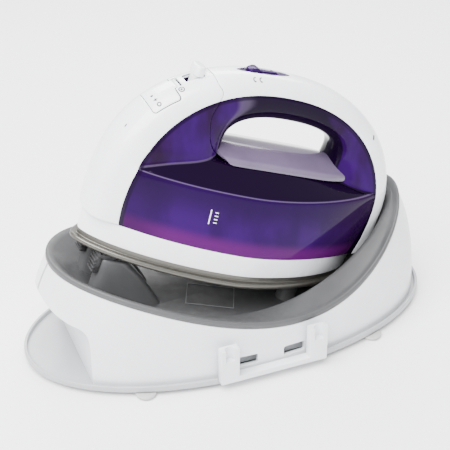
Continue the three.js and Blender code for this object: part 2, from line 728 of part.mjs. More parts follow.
// Heating element: a hairpin, its bends set in from the casting's edge.
const elementPath = [
  [0.85, -0.21],
  [0.555, -0.57],
  [0, -0.7],
  [-0.51, -0.52],
  [-0.777, 0],
  [-0.51, 0.52],
  [0, 0.7],
  [0.555, 0.57],
  [0.85, 0.21],
].map(([along, across]) => V3(castingEdge.a * along, castingEdge.b * across, ELEMENT_HEIGHT));

function element(radius) {
  return tube(elementPath, radius, 8, 30);
}

function makeCasting() {
  const block = loft([
    outline({ ...castingEdge, z: SOLE_TOP + GAP }, 32),
    outline({ ...castingEdge, z: CASTING_TOP - 1 }, 32),
    outline({ ...inset(castingEdge, 1.5), z: CASTING_TOP }, 32),
  ]);
  const chamber = loft([
    outline({ x: -30, a: 30, b: 13, n: 2.2, z: 10 }, 24),
    outline({ x: -30, a: 30, b: 13, n: 2.2, z: CASTING_TOP + 5 }, 24),
  ]);
  const groove = join(element(ELEMENT_RADIUS + GAP + 0.1), raised(element(ELEMENT_RADIUS + GAP + 0.1), 6));
  return cut(block, chamber, groove);
}

const raised = (item, by) => solid(geometryOf(item).translate(0, 0, by));

function makeChamberLid() {
  const lid = { x: -30, a: 36, b: 16.5, n: 2.2 };
  const plate = loft([
    outline({ ...lid, z: CASTING_TOP + GAP }, 24),
    outline({ ...lid, z: CASTING_TOP + 1.8 }, 24),
  ]);
  return cut(plate, upright(3, VALVE_X, 0, CASTING_TOP - 1, CASTING_TOP + 5, 12));
}

function makeHeatShield() {
  const edge = inset(skirtTopEdge, SKIRT_WALL + GAP + 0.2);
  const plate = loft([
    outline({ ...edge, z: SHIELD_LOW }),
    outline({ ...edge, z: SKIRT_HIGH }),
  ]);
  const door = box([-36, -10, 0], [-20, 10, 40]);
  const sensorHole = upright(13, THERMOSTAT_X, 0, 0, 40, 20);
  return cut(plate, upright(GASKET_RADIUS + GAP, VALVE_X, 0, 0, 40, 16), door, sensorHole);
}

function makeThermostat() {
  const base = upright(9.5, THERMOSTAT_X, 0, CASTING_TOP + GAP, CASTING_TOP + 5, 20);
  const stem = upright(4, THERMOSTAT_X, 0, CASTING_TOP + 4, CASTING_TOP + 9, 12);
  const tab = box([THERMOSTAT_X - 12, -2.5, CASTING_TOP + 2.6], [THERMOSTAT_X + 12, 2.5, CASTING_TOP + 3.6]);
  return join(base, stem, tab);
}

function makeFuse() {
  const shape = new THREE.CylinderGeometry(2.4, 2.4, 14, 12).rotateZ(Math.PI / 2);
  const wire = new THREE.CylinderGeometry(0.7, 0.7, 24, 8).rotateZ(Math.PI / 2);
  const place = (geometry) => solid(geometry.translate(24, 12, CASTING_TOP + 3));
  return join(place(shape), place(wire));
}

function makeGasket() {
  const ring = upright(GASKET_RADIUS, VALVE_X, 0, CASTING_TOP + 2.1, SKIRT_HIGH, 20);
  return cut(ring, upright(2.2, VALVE_X, 0, 0, 40, 12));
}

// ---------------------------------------------------------------- handle body, covers and their fittings

const trackLean = Math.atan2(TRACK_BACK.z - TRACK_FRONT.z, TRACK_BACK.x - TRACK_FRONT.x);
const trackHeight = (x) => TRACK_FRONT.z + Math.tan(trackLean) * (x - TRACK_FRONT.x);

// Boat-shaped recess on top of the handle.
function trackShape(grow, above, below) {
  const middle = (TRACK_FRONT.x + TRACK_BACK.x) / 2;
  const half = (TRACK_BACK.x - TRACK_FRONT.x) / 2;
  const edge = { x: middle, a: half + grow, b: TRACK_HALF + grow, n: 1.7 };
  return loft([
    outline({ ...edge, z: (x) => trackHeight(x) - below }, 28),
    outline({ ...edge, z: (x) => trackHeight(x) + above }, 28),
  ]);
}

const stemSlot = (grow) =>
  slopeBox(
    { x: SLIDER_FRONT + 1.5 - grow, z: trackHeight(SLIDER_FRONT + 1.5 - grow) },
    {
      x: SLIDER_FRONT + SLIDER_LENGTH + SLIDER_TRAVEL - 1.5 + grow,
      z: trackHeight(SLIDER_FRONT + SLIDER_LENGTH + SLIDER_TRAVEL - 1.5 + grow),
    },
    1.4 + grow,
    4,
    8,
  );

function makeTrack() {
  return cut(trackShape(0, 0, TRACK_THICK), stemSlot(GAP));
}

function makeSlider() {
  const front = { x: SLIDER_FRONT, z: trackHeight(SLIDER_FRONT) };
  const back = { x: SLIDER_FRONT + SLIDER_LENGTH, z: trackHeight(SLIDER_FRONT + SLIDER_LENGTH) };
  const run = SLIDER_LENGTH / Math.cos(trackLean);
  const grip = new THREE.Shape([
    V2(0, GAP),
    V2(run, GAP),
    V2(run, 1.4),
    V2(run - 1.2, 2.4),
    V2(run * 0.62, 3.6),
    V2(run * 0.38, 3.6),
    V2(1.2, 2.4),
    V2(0, 1.4),
  ]);
  const geometry = new THREE.ExtrudeGeometry(grip, { depth: 8.4, bevelEnabled: false });
  geometry.rotateX(Math.PI / 2).translate(0, 4.2, 0).rotateY(-trackLean).translate(front.x, 0, front.z);
  const stem = slopeBox(
    { x: front.x + 2, z: trackHeight(front.x + 2) },
    { x: back.x - 2, z: trackHeight(back.x - 2) },
    1.2,
    1,
    TRACK_THICK + 1,
  );
  return join(solid(geometry), stem);
}

const deckProfile = (drop) => [
  [-DECK_HALF + drop, SHOULDER_TOP + 1.5 - drop],
  [-DECK_HALF + 1 + drop, SHOULDER_TOP + 2.6 - drop],
  [-6, DECK_CROWN - 1 - drop],
  [0, DECK_CROWN - drop],
  [6, DECK_CROWN - 1 - drop],
  [DECK_HALF - 1 - drop, SHOULDER_TOP + 2.6 - drop],
  [DECK_HALF - drop, SHOULDER_TOP + 1.5 - drop],
];

// Solid along X with the deck's cross-section.
function deckRun(drop, from, to, low) {
  const half = DECK_HALF - drop;
  const shape = new THREE.Shape([V2(-half, low), ...deckProfile(drop).map(([y, z]) => V2(y, z)), V2(half, low)]);
  const geometry = new THREE.ExtrudeGeometry(shape, { depth: to - from, bevelEnabled: false });
  return solid(geometry.rotateX(Math.PI / 2).rotateZ(Math.PI / 2).translate(from, 0, 0));
}

const holeTool = (by) => prism(sideView(HOLE, by), 60);

// Lid of the core column under the fingers.
function makeDeck() {
  const slab = deckRun(0, -60, 100, SHOULDER_TOP + GAP);
  const under = deckRun(DECK_WALL, -60, 100, SHOULDER_TOP - 5);
  return cut(slab, under).intersect(holeTool(-0.4));
}

function makeHandleBody() {
  const skin = outerBody.intersect(glazeIn).intersect(handleSide);
  const heelFilling = cut(underSkin.intersect(heelZone), glazeOut);
  const filling = join(skin, underSkin.intersect(handleSide), heelFilling);
  const overDeck = cut(holeTool(0), box([-200, -CORE_HALF, 0], [200, CORE_HALF, SHOULDER_TOP + 1.2]));
  const whole = join(cut(filling, overDeck), coreColumn());
  const room = box(
    [CORE_FRONT + CORE_WALL, -CORE_HALF + CORE_WALL, 0],
    [CORE_BACK - CORE_WALL, CORE_HALF - CORE_WALL, SHOULDER_TOP - 3],
  );
  const heelRoom = box(
    [CORE_BACK - 10, -CONTACT_HALF - GAP, CONTACT_LOW - GAP],
    [200, CONTACT_HALF + GAP, CONTACT_HIGH + GAP],
  );
  const screws = handleScrews(GAP);
  return piece(cut(whole, room, heelRoom, trackShape(GAP, 20, TRACK_THICK + GAP), sliderRoom(), lampTool(GAP), ...screws));
}

const sliderRoom = () =>
  slopeBox(
    { x: SLIDER_FRONT - 3, z: trackHeight(SLIDER_FRONT - 3) },
    {
      x: SLIDER_FRONT + SLIDER_LENGTH + SLIDER_TRAVEL + 3,
      z: trackHeight(SLIDER_FRONT + SLIDER_LENGTH + SLIDER_TRAVEL + 3),
    },
    3,
    0,
    10,
  );

const coverSkin = () => cut(outerBody, glazeOut, underCover);

function makeHandleCover() {
  const skin = coverSkin().intersect(join(handleSide, heelZone));
  const heelWindow = box(
    [CORE_BACK, -CONTACT_HALF - GAP, CONTACT_LOW - GAP],
    [200, CONTACT_HALF + GAP, CONTACT_HIGH + GAP],
  );
  return piece(cut(skin, heelWindow, trackShape(GAP, 20, 8), lampTool(GAP)));
}

function lampTool(grow) {
  const turn = THREE.MathUtils.degToRad(LAMP_ANGLE);
  const out = rayLength(ARCH, turn, 0);
  const rod = new THREE.CylinderGeometry(LAMP_RADIUS + grow, LAMP_RADIUS + grow, 5 + grow, 14);
  rod.rotateX(Math.PI / 2).translate(0, 0, out - 2.6 - grow / 2).rotateY(Math.PI / 2 - turn);
  return solid(rod.translate(RING_CENTRE.x, 0, RING_CENTRE.z));
}

// Two screws from inside the core column up into the deck.
const handleScrews = (grow) =>
  [-20, 60].map((x) => upright(1.5 + grow, x, 0, SHOULDER_TOP - 9, SHOULDER_TOP + 4, 10));

function makeHandleScrew(x) {
  return join(
    upright(1.5, x, 0, SHOULDER_TOP - 6, SHOULDER_TOP + 3.4, 10),
    upright(3, x, 0, SHOULDER_TOP - 6, SHOULDER_TOP - 3 - GAP, 12),
  );
}

function makeControlBoard() {
  const board = box([-20, -14, 60], [70, 14, 61.6]);
  const relay = box([40, -9, 61], [58, 9, 74]);
  const chips = [-8, 6, 20].map((x) => box([x, -5, 61], [x + 8, 5, 65]));
  return join(board, relay, ...chips);
}

// Block in the heel with the two contact plates.
function makeContactBlock() {
  const slab = box([CORE_BACK - 8, -CONTACT_HALF, CONTACT_LOW], [CONTACT_FACE, CONTACT_HALF, CONTACT_HIGH]);
  return cut(slab, ...[-1, 1].map((side) => plateShape(side, GAP)));
}

const plateShape = (side, grow) =>
  box(
    [CONTACT_FACE - 1.2 - grow, side * BLADE_Y - 3.2 - grow, CONTACT_LOW + 2 - grow],
    [CONTACT_FACE + (grow ? 5 : 0.4), side * BLADE_Y + 3.2 + grow, CONTACT_HIGH - 2 + grow],
  );

// ---------------------------------------------------------------- water tank

const capSlope = V2(CAP_FRONT.x - CAP_BACK.x, CAP_FRONT.z - CAP_BACK.z).normalize(); // from hinge to front edge
const capNormal = V2(capSlope.y, -capSlope.x); // out of the surface
const capHinge = V2(CAP_BACK.x, CAP_BACK.z)
  .addScaledVector(capSlope, -CAP_TONGUE)
  .addScaledVector(capNormal, -CAP_PIN_DEPTH);
const tongueStart = V2(CAP_BACK.x, CAP_BACK.z).addScaledVector(capSlope, 0.5 - CAP_TONGUE + CAP_KNUCKLE_RADIUS / 2);
const notchEnd = V2(CAP_BACK.x, CAP_BACK.z).addScaledVector(capSlope, -CAP_TONGUE - CAP_KNUCKLE_RADIUS - SLOT_PLAY);

const leverPocket = (grow) =>
  box(
    [LEVER_X - LEVER_ROOM - grow, -LEVER_HALF - 1 - grow, LEVER_PIVOT - 8 - grow],
    [LEVER_X + 5 + grow, LEVER_HALF + 1 + grow, 170],
  );
const hingeRoom = (grow) =>
  crosswise(CAP_KNUCKLE_RADIUS + SLOT_PLAY + grow, capHinge.x, capHinge.y, CAP_KNUCKLE_HALF + 0.5 + grow, 14);
const capRecess = (grow) => slopeBox(CAP_BACK, CAP_FRONT, CAP_HALF, 8, COVER_WALL + 2 + grow, 0.4 + grow);

function makeTank() {
  const shape = join(outerBody.intersect(glazeIn), underSkin.intersect(noseZone)).intersect(tankSide);
  const seated = cut(shape, coreSlot(GAP + 0.2));
  const water = body(COVER_WALL + GAP + TANK_WALL, bodyBottom + TANK_WALL).intersect(prism(tankInside(), 90));
  const waterAroundCore = cut(
    water,
    coreSlot(GAP + 0.2 + TANK_WALL),
    leverPocket(TANK_WALL),
    hingeRoom(TANK_WALL),
    capRecess(TANK_WALL),
    upright(VALVE_WELL + TANK_WALL, VALVE_X, 0, 0, 150, 16),
    box([-200, -100, 0], [200, 100, bodyBottom + TANK_WALL]),
  );
  const neck = upright(8, 0, 0, -14, 8, 20);
  const place = new THREE.Matrix4()
    .makeTranslation((CAP_BACK.x + CAP_FRONT.x) / 2, 0, (CAP_BACK.z + CAP_FRONT.z) / 2)
    .multiply(new THREE.Matrix4().makeRotationY(Math.atan2(capNormal.x, capNormal.y)));
  const filler = solid(geometryOf(neck).applyMatrix4(place));
  const opened = cut(
    seated,
    waterAroundCore,
    filler,
    capRecess(0),
    leverPocket(0),
    upright(VALVE_WELL, VALVE_X, 0, 0, LEVER_PIVOT, 16),
    crosswise(PIN_RADIUS + GAP, LEVER_X, LEVER_PIVOT, PIN_HALF + GAP, 12),
    capPinSeat(),
    hingeRoom(0),
  );
  return piece(opened);
}

const capPinSeat = () => crosswise(CAP_PIN_RADIUS + GAP, capHinge.x, capHinge.y, CAP_PIN_HALF + GAP, 12);

// The tank's wall follows its joint with the handle body at a wall's distance.
const tankInside = () =>
  [...jointLine.slice(1).map((p) => V2(p.x - TANK_WALL, p.y - TANK_WALL)), V2(-160, 175), V2(-160, 0), V2(200, 0)];

function makeFrontCover() {
  const skin = coverSkin().intersect(tankSide).intersect(noseZone);
  const opened = cut(
    skin,
    slopeBox(CAP_BACK, CAP_FRONT, CAP_HALF, 12, 8, 0),
    slopeBox(capPoint(notchEnd), CAP_BACK, CAP_KNUCKLE_HALF + 0.5, 8, CAP_PIN_DEPTH),
    hingeRoom(0),
    box([LEVER_X - LEVER_ROOM, -LEVER_HALF - SLOT_PLAY, LEVER_PIVOT], [LEVER_X + 4.8, LEVER_HALF + SLOT_PLAY, 175]),
    capPinSeat(),
  );
  return piece(opened);
}

const capPoint = (point) => ({ x: point.x, z: point.y });

function makeCap() {
  const lid = cut(outerBody, underCover);
  const tongueSide = CAP_KNUCKLE_HALF - 0.4;
  const middle = V2((CAP_BACK.x + CAP_FRONT.x) / 2, (CAP_BACK.z + CAP_FRONT.z) / 2);
  const plate = join(
    lid.intersect(slopeBox(CAP_BACK, CAP_FRONT, CAP_HALF, 12, 8, -CAP_SEAM)),
    lid.intersect(slopeBox(capPoint(tongueStart), capPoint(middle), tongueSide, 12, 8)),
  );
  const knuckle = crosswise(CAP_KNUCKLE_RADIUS, capHinge.x, capHinge.y, CAP_KNUCKLE_HALF, 14);
  return piece(cut(join(plate, knuckle), crosswise(CAP_PIN_RADIUS + 0.06, capHinge.x, capHinge.y, CAP_HALF, 12)));
}

const makeCapPin = () => crosswise(CAP_PIN_RADIUS, capHinge.x, capHinge.y, CAP_PIN_HALF, 12);
const makeLeverPin = () => crosswise(PIN_RADIUS, LEVER_X, LEVER_PIVOT, PIN_HALF, 12);

function makeLever() {
  const hub = crosswise(PIN_RADIUS + 2.4, LEVER_X, LEVER_PIVOT, LEVER_HALF - 0.3, 18);
  const paddle = loft([
    outline({ x: LEVER_X, a: 3.1, b: LEVER_HALF - 0.3, n: 4, z: LEVER_PIVOT }, 20),
    outline({ x: LEVER_X, a: 3.6, b: LEVER_HALF, n: 4, z: LEVER_TOP - 10 }, 20),
    outline({ x: LEVER_X, a: 4, b: LEVER_HALF, n: 4, z: LEVER_TOP - 1 }, 20),
    outline({ x: LEVER_X, a: 3.2, b: LEVER_HALF - 0.8, n: 4, z: LEVER_TOP }, 20),
  ]);
  return cut(join(hub, paddle), crosswise(PIN_RADIUS + 0.05, LEVER_X, LEVER_PIVOT, 20, 14));
}

function makeValveRod() {
  return join(
    upright(ROD_RADIUS, VALVE_X, 0, VALVE_SEAT_TOP + 1, LEVER_PIVOT - PIN_RADIUS - 5, 12),
    upright(SPRING_RADIUS + GAP, VALVE_X, 0, COLLAR_HEIGHT, COLLAR_HEIGHT + 2, 14),
    upright(1, VALVE_X, 0, VALVE_SEAT_TOP - 3, VALVE_SEAT_TOP + 1.5, 12, 2),
  );
}

function makeValveSeat() {
  const barrel = upright(VALVE_WELL - GAP, VALVE_X, 0, bodyBottom + 0.2, VALVE_SEAT_TOP, 16);
  return cut(
    barrel,
    upright(1.2, VALVE_X, 0, 0, 60, 12),
    upright(1.6, VALVE_X, 0, VALVE_SEAT_TOP - 5, VALVE_SEAT_TOP + 3, 12, 3.2),
  );
}

function makeSpring() {
  const turns = 5;
  const perTurn = 8;
  const low = COLLAR_HEIGHT + 2 + GAP + SPRING_WIRE;
  const high = SPRING_TOP - SPRING_WIRE;
  const points = [];
  for (let i = 0; i <= turns * perTurn; i++) {
    const turn = (i / perTurn) * 2 * Math.PI;
    const z = THREE.MathUtils.lerp(low, high, i / (turns * perTurn));
    points.push(V3(VALVE_X + SPRING_RADIUS * Math.cos(turn), SPRING_RADIUS * Math.sin(turn), z));
  }
  return tube(points, SPRING_WIRE, 6, turns * perTurn);
}

function makeSpringStop() {
  const ring = upright(VALVE_WELL - GAP, VALVE_X, 0, SPRING_TOP + GAP, SPRING_TOP + 3, 16);
  return cut(ring, upright(ROD_RADIUS + GAP, VALVE_X, 0, 0, 200, 12));
}

add(part, "base_plate", makeBasePlate(), WHITE);
add(part, "base_shell", makeBaseShell(), WHITE);
add(part, "cradle", makeCradle(), CRADLE_GREY);
add(part, "front_rest_pad", makeFrontPad(), PAD_BLACK);
add(part, "heel_rest_pad_left", makeHeelPad(-1), PAD_BLACK);
add(part, "heel_rest_pad_right", makeHeelPad(1), PAD_BLACK);
add(part, "terminal_block", makeTerminalBlock(), INNER_PLASTIC);
add(part, "contact_blade_left", parked(bladeShape(-1, 0)), COPPER);
add(part, "contact_blade_right", parked(bladeShape(1, 0)), COPPER);
add(part, "latch_rail_left", makeRail(-1), WHITE);
add(part, "latch_rail_right", makeRail(1), WHITE);
add(part, "cord_inlet", makeInlet(), WHITE);
add(part, "stand_lead", makeStandLead(), INNER_PLASTIC);
const corners = [["nose_left", -1, -1], ["nose_right", -1, 1], ["heel_left", 1, -1], ["heel_right", 1, 1]];
for (const [name, x, y] of corners) {
  add(part, `foot_${name}`, makeFoot(x * FOOT_X, y * FOOT_Y), PAD_BLACK);
}
for (const [i, [x, y]] of screwPlaces().entries()) {
  add(part, `base_screw_${i + 1}`, makeScrew(x, y, plateBottom - 2, 10, 3.6, 1.9), STEEL);
}

add(iron, "soleplate", makeSoleplate(), SOLE_METAL);
add(iron, "skirt", makeSkirt(), WHITE);
add(iron, "heater_casting", makeCasting(), CAST_METAL);
add(iron, "heating_element", element(ELEMENT_RADIUS), STEEL);
add(iron, "steam_chamber_lid", makeChamberLid(), STEEL);
add(iron, "heat_shield", makeHeatShield(), INNER_PLASTIC);
add(iron, "thermostat", makeThermostat(), COPPER);
add(iron, "thermal_fuse", makeFuse(), STEEL);
add(iron, "steam_gasket", makeGasket(), PAD_BLACK);
add(iron, "handle_body", makeHandleBody(), PURPLE);
add(iron, "deck_cover", makeDeck(), LILAC);
add(iron, "handle_cover", makeHandleCover(), WHITE);
add(iron, "slider_track", makeTrack(), PURPLE);
add(iron, "temperature_slider", makeSlider(), PURPLE);
add(iron, "handle_screw_front", makeHandleScrew(-20), STEEL);
add(iron, "handle_screw_rear", makeHandleScrew(60), STEEL);
add(iron, "control_board", makeControlBoard(), BOARD_GREEN);
add(iron, "pilot_lamp_lens", lampTool(0), LAMP_RED);
add(iron, "heel_contact_block", makeContactBlock(), INNER_PLASTIC);
add(iron, "contact_plate_left", plateShape(-1, 0), COPPER);
add(iron, "contact_plate_right", plateShape(1, 0), COPPER);
add(iron, "water_tank", makeTank(), PURPLE);
add(iron, "front_cover", makeFrontCover(), WHITE);
add(iron, "filler_cap", makeCap(), WHITE);
add(iron, "cap_hinge_pin", makeCapPin(), STEEL);
add(iron, "steam_lever", makeLever(), WHITE);
add(iron, "lever_pin", makeLeverPin(), STEEL);
add(iron, "valve_rod", makeValveRod(), STEEL);
add(iron, "valve_seat", makeValveSeat(), PAD_BLACK);
add(iron, "valve_spring", makeSpring(), STEEL);
add(iron, "spring_stop", makeSpringStop(), INNER_PLASTIC);
export default part;
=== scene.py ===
"""Cordless steam iron parked in its charging stand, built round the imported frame."""
import json
import math

import bmesh
import bpy
import numpy as np
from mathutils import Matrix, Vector


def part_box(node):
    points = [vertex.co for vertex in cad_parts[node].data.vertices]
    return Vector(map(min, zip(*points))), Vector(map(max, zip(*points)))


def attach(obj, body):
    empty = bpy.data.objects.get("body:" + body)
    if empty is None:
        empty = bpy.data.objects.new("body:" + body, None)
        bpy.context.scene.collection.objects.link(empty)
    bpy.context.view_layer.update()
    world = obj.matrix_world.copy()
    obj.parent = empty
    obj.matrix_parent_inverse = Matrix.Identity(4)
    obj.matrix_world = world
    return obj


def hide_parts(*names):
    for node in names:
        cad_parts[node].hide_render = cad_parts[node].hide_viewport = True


bl_info = {
    "name": "Steam iron in its stand",
    "version": (1, 0, 0),
    "blender": (4, 5, 0),
    "location": "3D View > Sidebar > Iron",
    "description": "Builds a cordless steam iron and its charging stand round a packed frame",
    "category": "Add Mesh",
}

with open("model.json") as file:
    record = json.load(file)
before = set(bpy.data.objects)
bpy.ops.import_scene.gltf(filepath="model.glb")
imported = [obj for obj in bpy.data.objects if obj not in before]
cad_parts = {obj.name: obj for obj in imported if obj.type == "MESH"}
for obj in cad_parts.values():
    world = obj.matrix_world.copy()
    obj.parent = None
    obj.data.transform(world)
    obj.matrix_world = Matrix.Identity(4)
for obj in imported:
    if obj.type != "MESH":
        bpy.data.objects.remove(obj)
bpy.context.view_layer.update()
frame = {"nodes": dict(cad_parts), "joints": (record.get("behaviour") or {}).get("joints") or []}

# ------------------------------------------------------------------ sizes, in millimetres

MM = 0.001
SEAM = 0.36  # open seam between neighbouring mouldings
NOWHERE = 50.0  # value of an outline field away from its own side of the iron
COVER_WALL = 2.5
SKIN_MESH = 1.25  # edge length of the body's surface mesh

# Iron frame: x along the sole to the heel, y across, z square to the sole.
ARCH = {"x": 2.7, "z": 46.4, "a": 124.8, "b": 108.8, "n": 2.29}
GLAZE = {"x": 4.0, "z": 50.0, "a": 106.0, "b": 93.0, "n": 2.2}
HOLE = {"x": 14.5, "z": 97.5, "a": 49.5, "b": 24.2, "n": 2.6}
RING_X, RING_Z = 14.0, 95.0
BODY_LOW = 26.1
WAIST, WAIST_TAPER = 50.8, 0.06
CREASE, CREASE_RISE, CREASE_SOFT = 72.5, 8.5, 1.6
SHOULDER_TOP, SHOULDER_HALF, SHOULDER_SHRINK = 87.2, 27.0, 0.16
SQUEEZE = SHOULDER_HALF / (WAIST - WAIST_TAPER * (CREASE - BODY_LOW))
LOW_POWER, LOW_POWER_GAIN = 1.64, 0.36  # outline exponent at the foot, and its rise to the crease
HEAD_HALF, GRIP_HALF = 25.5, 18.7
GRIP_LOW, GRIP_RISE = 88, 50  # where the ring starts to narrow, and over what height
RING_POWER, RING_POWER_GAIN = 2.2, 0.9  # section exponent where the ring is thin, and its rise
RING_THIN, RING_THICKER = 14.5, 21.5
BLEND = 3.0
JOINT_LOW = [(130, 82), (110.6, 82), (91, 82), (60, 87.2), (-20, 87.2)]
JOINT_HIGH = [
    (-29, 87.2), (-43, 93), (-51, 102.5), (-55.5, 118), (-53, 130), (-52, 138), (-58, 147), (-62, 175)
]
CORE_HALF, CORE_FRONT = 18.5, -46.5
DECK_HALF, DECK_CROWN, DECK_WALL = 25.5, 96.5, 2.0
SOLE_A, SOLE_B, SOLE_N = 123.1, 53.6, 1.64
SOLE = {"x": 0.0, "a": SOLE_A, "b": SOLE_B, "n": SOLE_N}
VENTS_X, VENT_SPREAD = (-96, -84, -72, -60, -48, -36, 72, 84), 0.62
SKIRT_LOW, SKIRT_HIGH, SKIRT_WALL = 8.5, 25.5, 2.2
SKIRT_FOOT = {"x": 0.0, "a": SOLE_A - 4, "b": SOLE_B - 4, "n": SOLE_N}
SKIRT_TOP = {"x": 0.0, "a": SOLE_A - 2.8, "b": SOLE_B - 2.8, "n": SOLE_N}
CAP_BACK, CAP_FRONT = (-84.0, 130.9), (-100.5, 115.0)
CAP_HALF, CAP_ROUND = 17.0, 2.4
TONGUE_HALF, TONGUE_LONG, NOTCH_LONG = 6.6, 1.6, 5.3
LEVER_X, LEVER_PIVOT, LEVER_TOP = -68.0, 124.0, 149.5
LEVER_HALF, LEVER_ROOM = 4.8, 8.4
TRACK_FRONT, TRACK_BACK, TRACK_HALF, TRACK_ROOM = (-38.0, 151.3), (6.0, 154.9), 6.0, 0.3
CONTACT_HALF, CONTACT_LOW, CONTACT_HIGH = 11.3, 33.7, 56.3
LAMP_ANGLE, LAMP_RADIUS = 18.0, 2.5
LEVEL_X, LEVEL_Z, LEVEL_HALF, LEVEL_LEAN = -42.4, 52.5, 5.8, -0.11
LEVEL_TICKS = (48.5, 51.2, 53.9, 56.6)
SLIDER_ARCS, SLIDER_ARC_Y = (-27.5, -22.5), -12.2
SLIT_X, SLIT_Z = 87, 125.3

# Where the tank's painted shade, its light foot band and its painted fold highlight change on the iron:
# start and end of each step.
WALL_SHADE, WALL_BAND = (68, 44), (41, 31)
HEEL_SHADE, NOSE_SHADE, FOLD_HIGHLIGHT = (45, 90), (-62, -92), (10, -25)

# Stand, in the row frame.
PLATE = {"a": 168.8, "b": 86.6, "n": 2.07}
PLATE_LOW, PLATE_TOP, LIP_TOP, LIP_WIDTH = 3.5, 5.5, 9.0, 2.4
RIM = {"a": 144.9, "b": 80.0, "n": 2.05}
RIM_BAND = 5.0
SHELL_WALL = 3.0
FOOT_INSET = 5.0
RECESS = [
    (-130, -30), (-130, 20), (-130, 44), (-133.5, 52.5), (-142, 56), (-150, 61), (-158, 71), (-190, 110)
]
POCKET = {"x": 6.0, "a": 133.0, "b": 52.0, "n": 1.95}
FLOOR = {"x": 6.0, "a": 101.0, "b": 48.0, "n": 2.1}
WINDOWS = [(-27.0, -9.0), (12.5, 30.5)]
WINDOW_LOW, WINDOW_HIGH = 12.8, 21.5
RAIL_ENDS, RAIL_POSTS, RAIL_Y = (-42, 45), (-27.6, 30.6), (83, 90)
RAIL_LOW, RAIL_BAR, RAIL_TOP = 7.2, 11.6, 38
INLET_Y, INLET_Z, INLET_RADIUS = 34, 20, 6.3
LABEL = [(-46, -24), (-10, -36), (2, -8), (-34, 4)]
PAD_INNER, PAD_OUTER = 10, 21
HUMP_Y = 15.5
POST, POST_Y = {"x": 62, "a": 8, "b": 8, "n": 2}, 24
LINER_NEAR, LINER_FAR = 70.2, 71.8

TABLE_HALF = 6  # metres
CAMERA_SHIFT = (-0.0074, -0.0084)
KEY_PLACE, KEY_AIM, KEY_SIZE = (-0.55, -0.35, 1.25), (0, 0, 0.1), (1.3, 1.3)
STRIP_PLACE, STRIP_AIM, STRIP_SIZE, STRIP_SHARE = (0.35, 0.75, 0.75), (0, 0, 0.15), (1.2, 0.25), 0.2

JOINTS = {joint["name"]: joint for joint in frame["joints"]}
IRON_UP = Vector(JOINTS["iron_lift"]["axis"]).normalized()
IRON_BACK = Vector((IRON_UP.z, 0, -IRON_UP.x))


def middle_of(node):
    """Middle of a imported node's box, in row-frame metres."""
    low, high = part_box(node)
    return (low + high) / 2


# The iron frame's origin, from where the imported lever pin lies.
IRON_ORIGIN = middle_of("lever_pin") - (LEVER_X * IRON_BACK + LEVER_PIVOT * IRON_UP) * MM


# ------------------------------------------------------------------ properties


def length(label, text, value):
    return bpy.props.FloatProperty(
        name=label, description=text, default=value, unit="LENGTH", min=0.0
    )


def colour(label, text, value):
    return bpy.props.FloatVectorProperty(
        name=label, description=text, default=value, subtype="COLOR", size=3, min=0.0, max=1.0
    )


def angle(label, text, degrees):
    return bpy.props.FloatProperty(
        name=label, description=text, default=math.radians(degrees), subtype="ANGLE"
    )


def plain(label, text, value):
    return bpy.props.FloatProperty(name=label, description=text, default=value, min=0.0)


class IronSizes(bpy.types.PropertyGroup):
    """Sizes of the iron's mouldings that a maker would change."""

    seam: length("Seam", "Open seam between neighbouring mouldings", SEAM * MM)
    wall: length("Cover wall", "Thickness of the white covers", COVER_WALL * MM)
    soft_edge: length("Soft edge", "How far a moulding's edge is rounded off", 0.22 * MM)
    fillet: length("Fillet", "Blend where the head meets the shoulder", BLEND * MM)
    vent: length("Vent radius", "Radius of a steam vent in the sole", 1.6 * MM)


class StandSizes(bpy.types.PropertyGroup):
    """Sizes of the stand's mouldings that a maker would change."""

    wall: length("Shell wall", "Thickness of the stand's shell", SHELL_WALL * MM)
    rim: length("Rim rounding", "Rounding of the cradle's rim", 2.2 * MM)
    rib: length("Pad rib", "Width of a rib on the rest pad", 1.5 * MM)


class IronColours(bpy.types.PropertyGroup):
    """Colours of the mouldings and metals."""

    white: colour("White", "Covers, skirt and stand", (0.83, 0.85, 0.88))
    violet: colour("Violet", "The tank's middle", (0.0215, 0.0006, 0.066))
    magenta: colour("Magenta", "Light band along the tank's foot", (0.060, 0.0030, 0.078))
    indigo: colour("Indigo", "Shadowed shoulder of the tank", (0.0036, 0.0004, 0.0085))
    plum: colour("Plum", "Head of the tank, where works show through", (0.0115, 0.0018, 0.0150))
    # The deck's purple lightened by painted reflection of the white surroundings; also the colour of the
    # tank's painted highlights.
    lilac_sheen: colour("Lilac", "Deck under the fingers", (0.105, 0.080, 0.135))
    grey: colour("Cradle grey", "The cradle", (0.055, 0.056, 0.058))
    black: colour("Rubber", "Pads and feet", (0.014, 0.014, 0.015))
    sole: colour("Sole", "Coated soleplate", (0.115, 0.110, 0.098))
    floor: colour("Floor", "Table under the stand", (0.92, 0.92, 0.93))


class StudioSettings(bpy.types.PropertyGroup):
    """Where the camera stands and how the lights are set."""

    azimuth: angle("Azimuth", "Camera's turn from straight on", -22.25)
    elevation: angle("Elevation", "Camera's height over the table", 32.14)
    distance: length("Distance", "From the camera to the middle of the object", 0.9)
    target: length("Target height", "Height of the point the camera looks at", 0.09)
    lens: plain("Lens", "Focal length, mm", 92.2)
    key: plain("Key light", "Power of the main light, W", 80.0)
    sky: plain("Sky", "Strength of the even light", 1.5)


# ------------------------------------------------------------------ number work


def signed_power(value, exponent):
    """Power of a number's size, with the number's sign."""
    return np.sign(value) * np.abs(value) ** exponent


